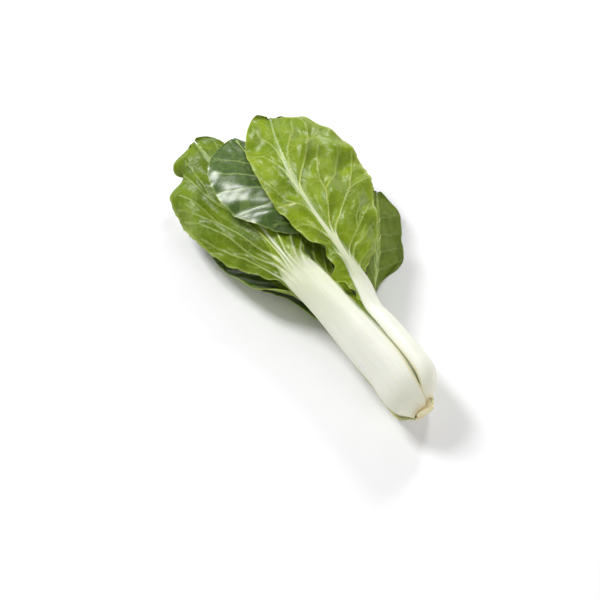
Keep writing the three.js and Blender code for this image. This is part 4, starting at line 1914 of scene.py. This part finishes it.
@dataclass
class Studio:
    """Pale floor, soft lights and the camera.

    Args:
        azimuth: The way that the camera looks, in degrees from +Y towards +X.
        elevation: How far it looks down, in degrees.
        lens: Its lens in millimetres, on a sensor 36 wide.
        distance: Its distance from the target, in millimetres.
        target: What it looks at, in the head's own place.
        ambient: Strength of the light from all round.
        lamp_distance: Distance of the lights from the target, in metres.
        lamps: The key light from the upper left, one behind the head for the sheen on its leaves,
            and a weak one that fills the shadows.
        floor_size: Width of the floor, in metres.
        floor_tones: The darkest and the lightest white of the floor.
    """

    azimuth: float = 31.0
    elevation: float = 55.0
    lens: float = 85.0
    distance: float = 867.0
    target: Triple = (-28.43, -19.29, 22.0)
    ambient: float = 0.38
    lamp_distance: float = 1.1
    lamps: tuple[Lamp, ...] = (
        Lamp("key", (-0.6, 0.46, 0.76), 9.4, 0.32),
        Lamp("sheen", (0.29, 0.8, 0.52), 4.7, 0.22),
        Lamp("fill", (0.55, -0.6, 0.5), 3.76, 0.8),
    )
    floor_size: float = 8.0
    floor_tones: tuple[Colour, Colour] = ((0.9, 0.9, 0.905), (0.93, 0.93, 0.935))

    def place(self, data: bpy.types.ID, name: str, spot: Vector, target: Vector) -> None:
        """Puts a light or the camera in the scene.

        Args:
            data: The light or the camera.
            name: Name of its object.
            spot: Where it stands.
            target: What it points at.
        """
        thing = bpy.data.objects.new(name, data)
        bpy.context.collection.objects.link(thing)
        thing.location = spot
        thing.rotation_euler = (target - spot).to_track_quat("-Z", "Y").to_euler()

    def build(self) -> None:
        """Makes the camera, the lights, the world and the floor."""
        centre = Vector((np.array(self.target) + HEAD_SHIFT) * MM)
        self._camera(centre)
        self._light(centre)
        self._floor()

    def _camera(self, centre: Vector) -> None:
        """Adds the camera, at the photograph's angle.

        Args:
            centre: What it looks at.
        """
        a, e = math.radians(self.azimuth), math.radians(self.elevation)
        way = Vector((math.sin(a) * math.cos(e), math.cos(a) * math.cos(e), -math.sin(e)))
        camera = bpy.data.cameras.new("camera")
        camera.lens = self.lens
        camera.sensor_width = 36.0
        camera.clip_start = 0.01
        camera.clip_end = 20.0
        self.place(camera, "camera", centre - way * self.distance * MM, centre)
        bpy.context.scene.camera = bpy.data.objects["camera"]

    def _light(self, centre: Vector) -> None:
        """Adds the lights and the light from all round.

        Args:
            centre: What the lights point at.
        """
        a = math.radians(self.azimuth)
        right = Vector((math.cos(a), -math.sin(a), 0))
        away = Vector((math.sin(a), math.cos(a), 0))
        for lamp in self.lamps:
            way = right * lamp.way[0] + away * lamp.way[1] + Vector((0, 0, lamp.way[2]))
            light = bpy.data.lights.new(lamp.name, "AREA")
            light.energy = lamp.power
            light.size = lamp.size
            spot = centre + way.normalized() * self.lamp_distance
            self.place(light, lamp.name, spot, centre)
        world = bpy.data.worlds.new("studio")
        world.use_nodes = True
        white = {"Color": (1.0, 1.0, 1.0, 1.0), "Strength": self.ambient}
        set_inputs(world.node_tree.nodes["Background"], white)
        bpy.context.scene.world = world
        view = bpy.context.scene.view_settings
        view.view_transform = "Standard"
        view.look = "None"

    def _floor(self) -> None:
        """Adds the floor: a plain matt white surface."""
        start_edit()
        bpy.ops.mesh.primitive_plane_add(size=self.floor_size)
        floor = bpy.context.object
        floor.name = "floor"
        made, w, skin = new_material("matt white")
        grain = w.noise(w.node("ShaderNodeTexCoord").outputs["Object"], 60.0)
        w.feed(skin.inputs["Base Color"], w.mix(grain, *self.floor_tones))
        set_inputs(skin, {"Roughness": 0.9, "Specular IOR Level": 0.1})
        floor.data.materials.append(made)


UNDER = LeafFinish(
    "blade underside",
    deep=(0.1, 0.185, 0.0002), fresh=(0.28, 0.4, 0.0015), vein=(0.51, 0.59, 0.13),
    net=0.38, rough=0.36, relief=0.00025, glow=0.22, shine=0.4,
)
# Painted shade: a darker copy of the blade underside for leaf_1, whose blade lies in the shade of
# the leaves over it.
UNDER_PAINTED_SHADE = LeafFinish(
    "blade underside, painted shade",
    deep=(0.07, 0.13, 0.0003), fresh=(0.2, 0.3, 0.002), vein=(0.42, 0.52, 0.12),
    net=0.28, rough=0.38, relief=0.0003, glow=0.2, shine=0.32,
)
UNDER_GREY = LeafFinish(
    "blade underside, matt",
    deep=(0.1, 0.16, 0.006), fresh=(0.175, 0.25, 0.02), vein=(0.27, 0.35, 0.08),
    net=0.2, rough=0.55, relief=0.0009, glow=0.16, shine=0.25,
)
UPPER = LeafFinish(
    "blade upper side",
    deep=(0.016, 0.05, 0.0006), fresh=(0.06, 0.125, 0.002), vein=(0.3, 0.42, 0.09),
    net=0.3, rough=0.4, relief=-0.0003, glow=0.12, shine=0.25, coat=1.0,
)
# leaf_1 takes the darker underside with painted shade; leaf_5 takes a matt grey one.
BACKS = {"leaf_1": UNDER_PAINTED_SHADE, "leaf_5": UNDER_GREY}
WHITE: Colour = (0.7, 0.74, 0.52)
STALK = StalkFinish(
    "stalk",
    foot=(0.77, 0.76, 0.62), white=(0.82, 0.825, 0.74), upper=(0.7, 0.735, 0.53),
    edge=(0.7, 0.58, 0.32), blade=UNDER,
)
CUT = CutFinish(
    "cut stem", pith=(0.8, 0.73, 0.52), ring=(0.72, 0.7, 0.32), dried=(0.78, 0.66, 0.38)
)


def main() -> None:
    """Builds the head in order, then the studio round it."""
    logging.basicConfig(level=logging.INFO, format="%(message)s")
    net = TissueGroups.net()
    tissue = TissueGroups.lamina(net)
    plain = UNDER.build(tissue, WHITE)
    backs = {name: finish.build(tissue, WHITE) for name, finish in BACKS.items()}
    upper = UPPER.build(tissue, WHITE)
    stalk = STALK.build(tissue)
    StemPiece().build(CUT.build())
    for leaf in LEAVES:
        pieces = LeafPieces(leaf)
        pieces.build_stalk(stalk)
        pieces.build_blade(backs.get(leaf.name, plain), upper)
    Studio().build()
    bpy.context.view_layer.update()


if __name__ == "__main__":
    main()
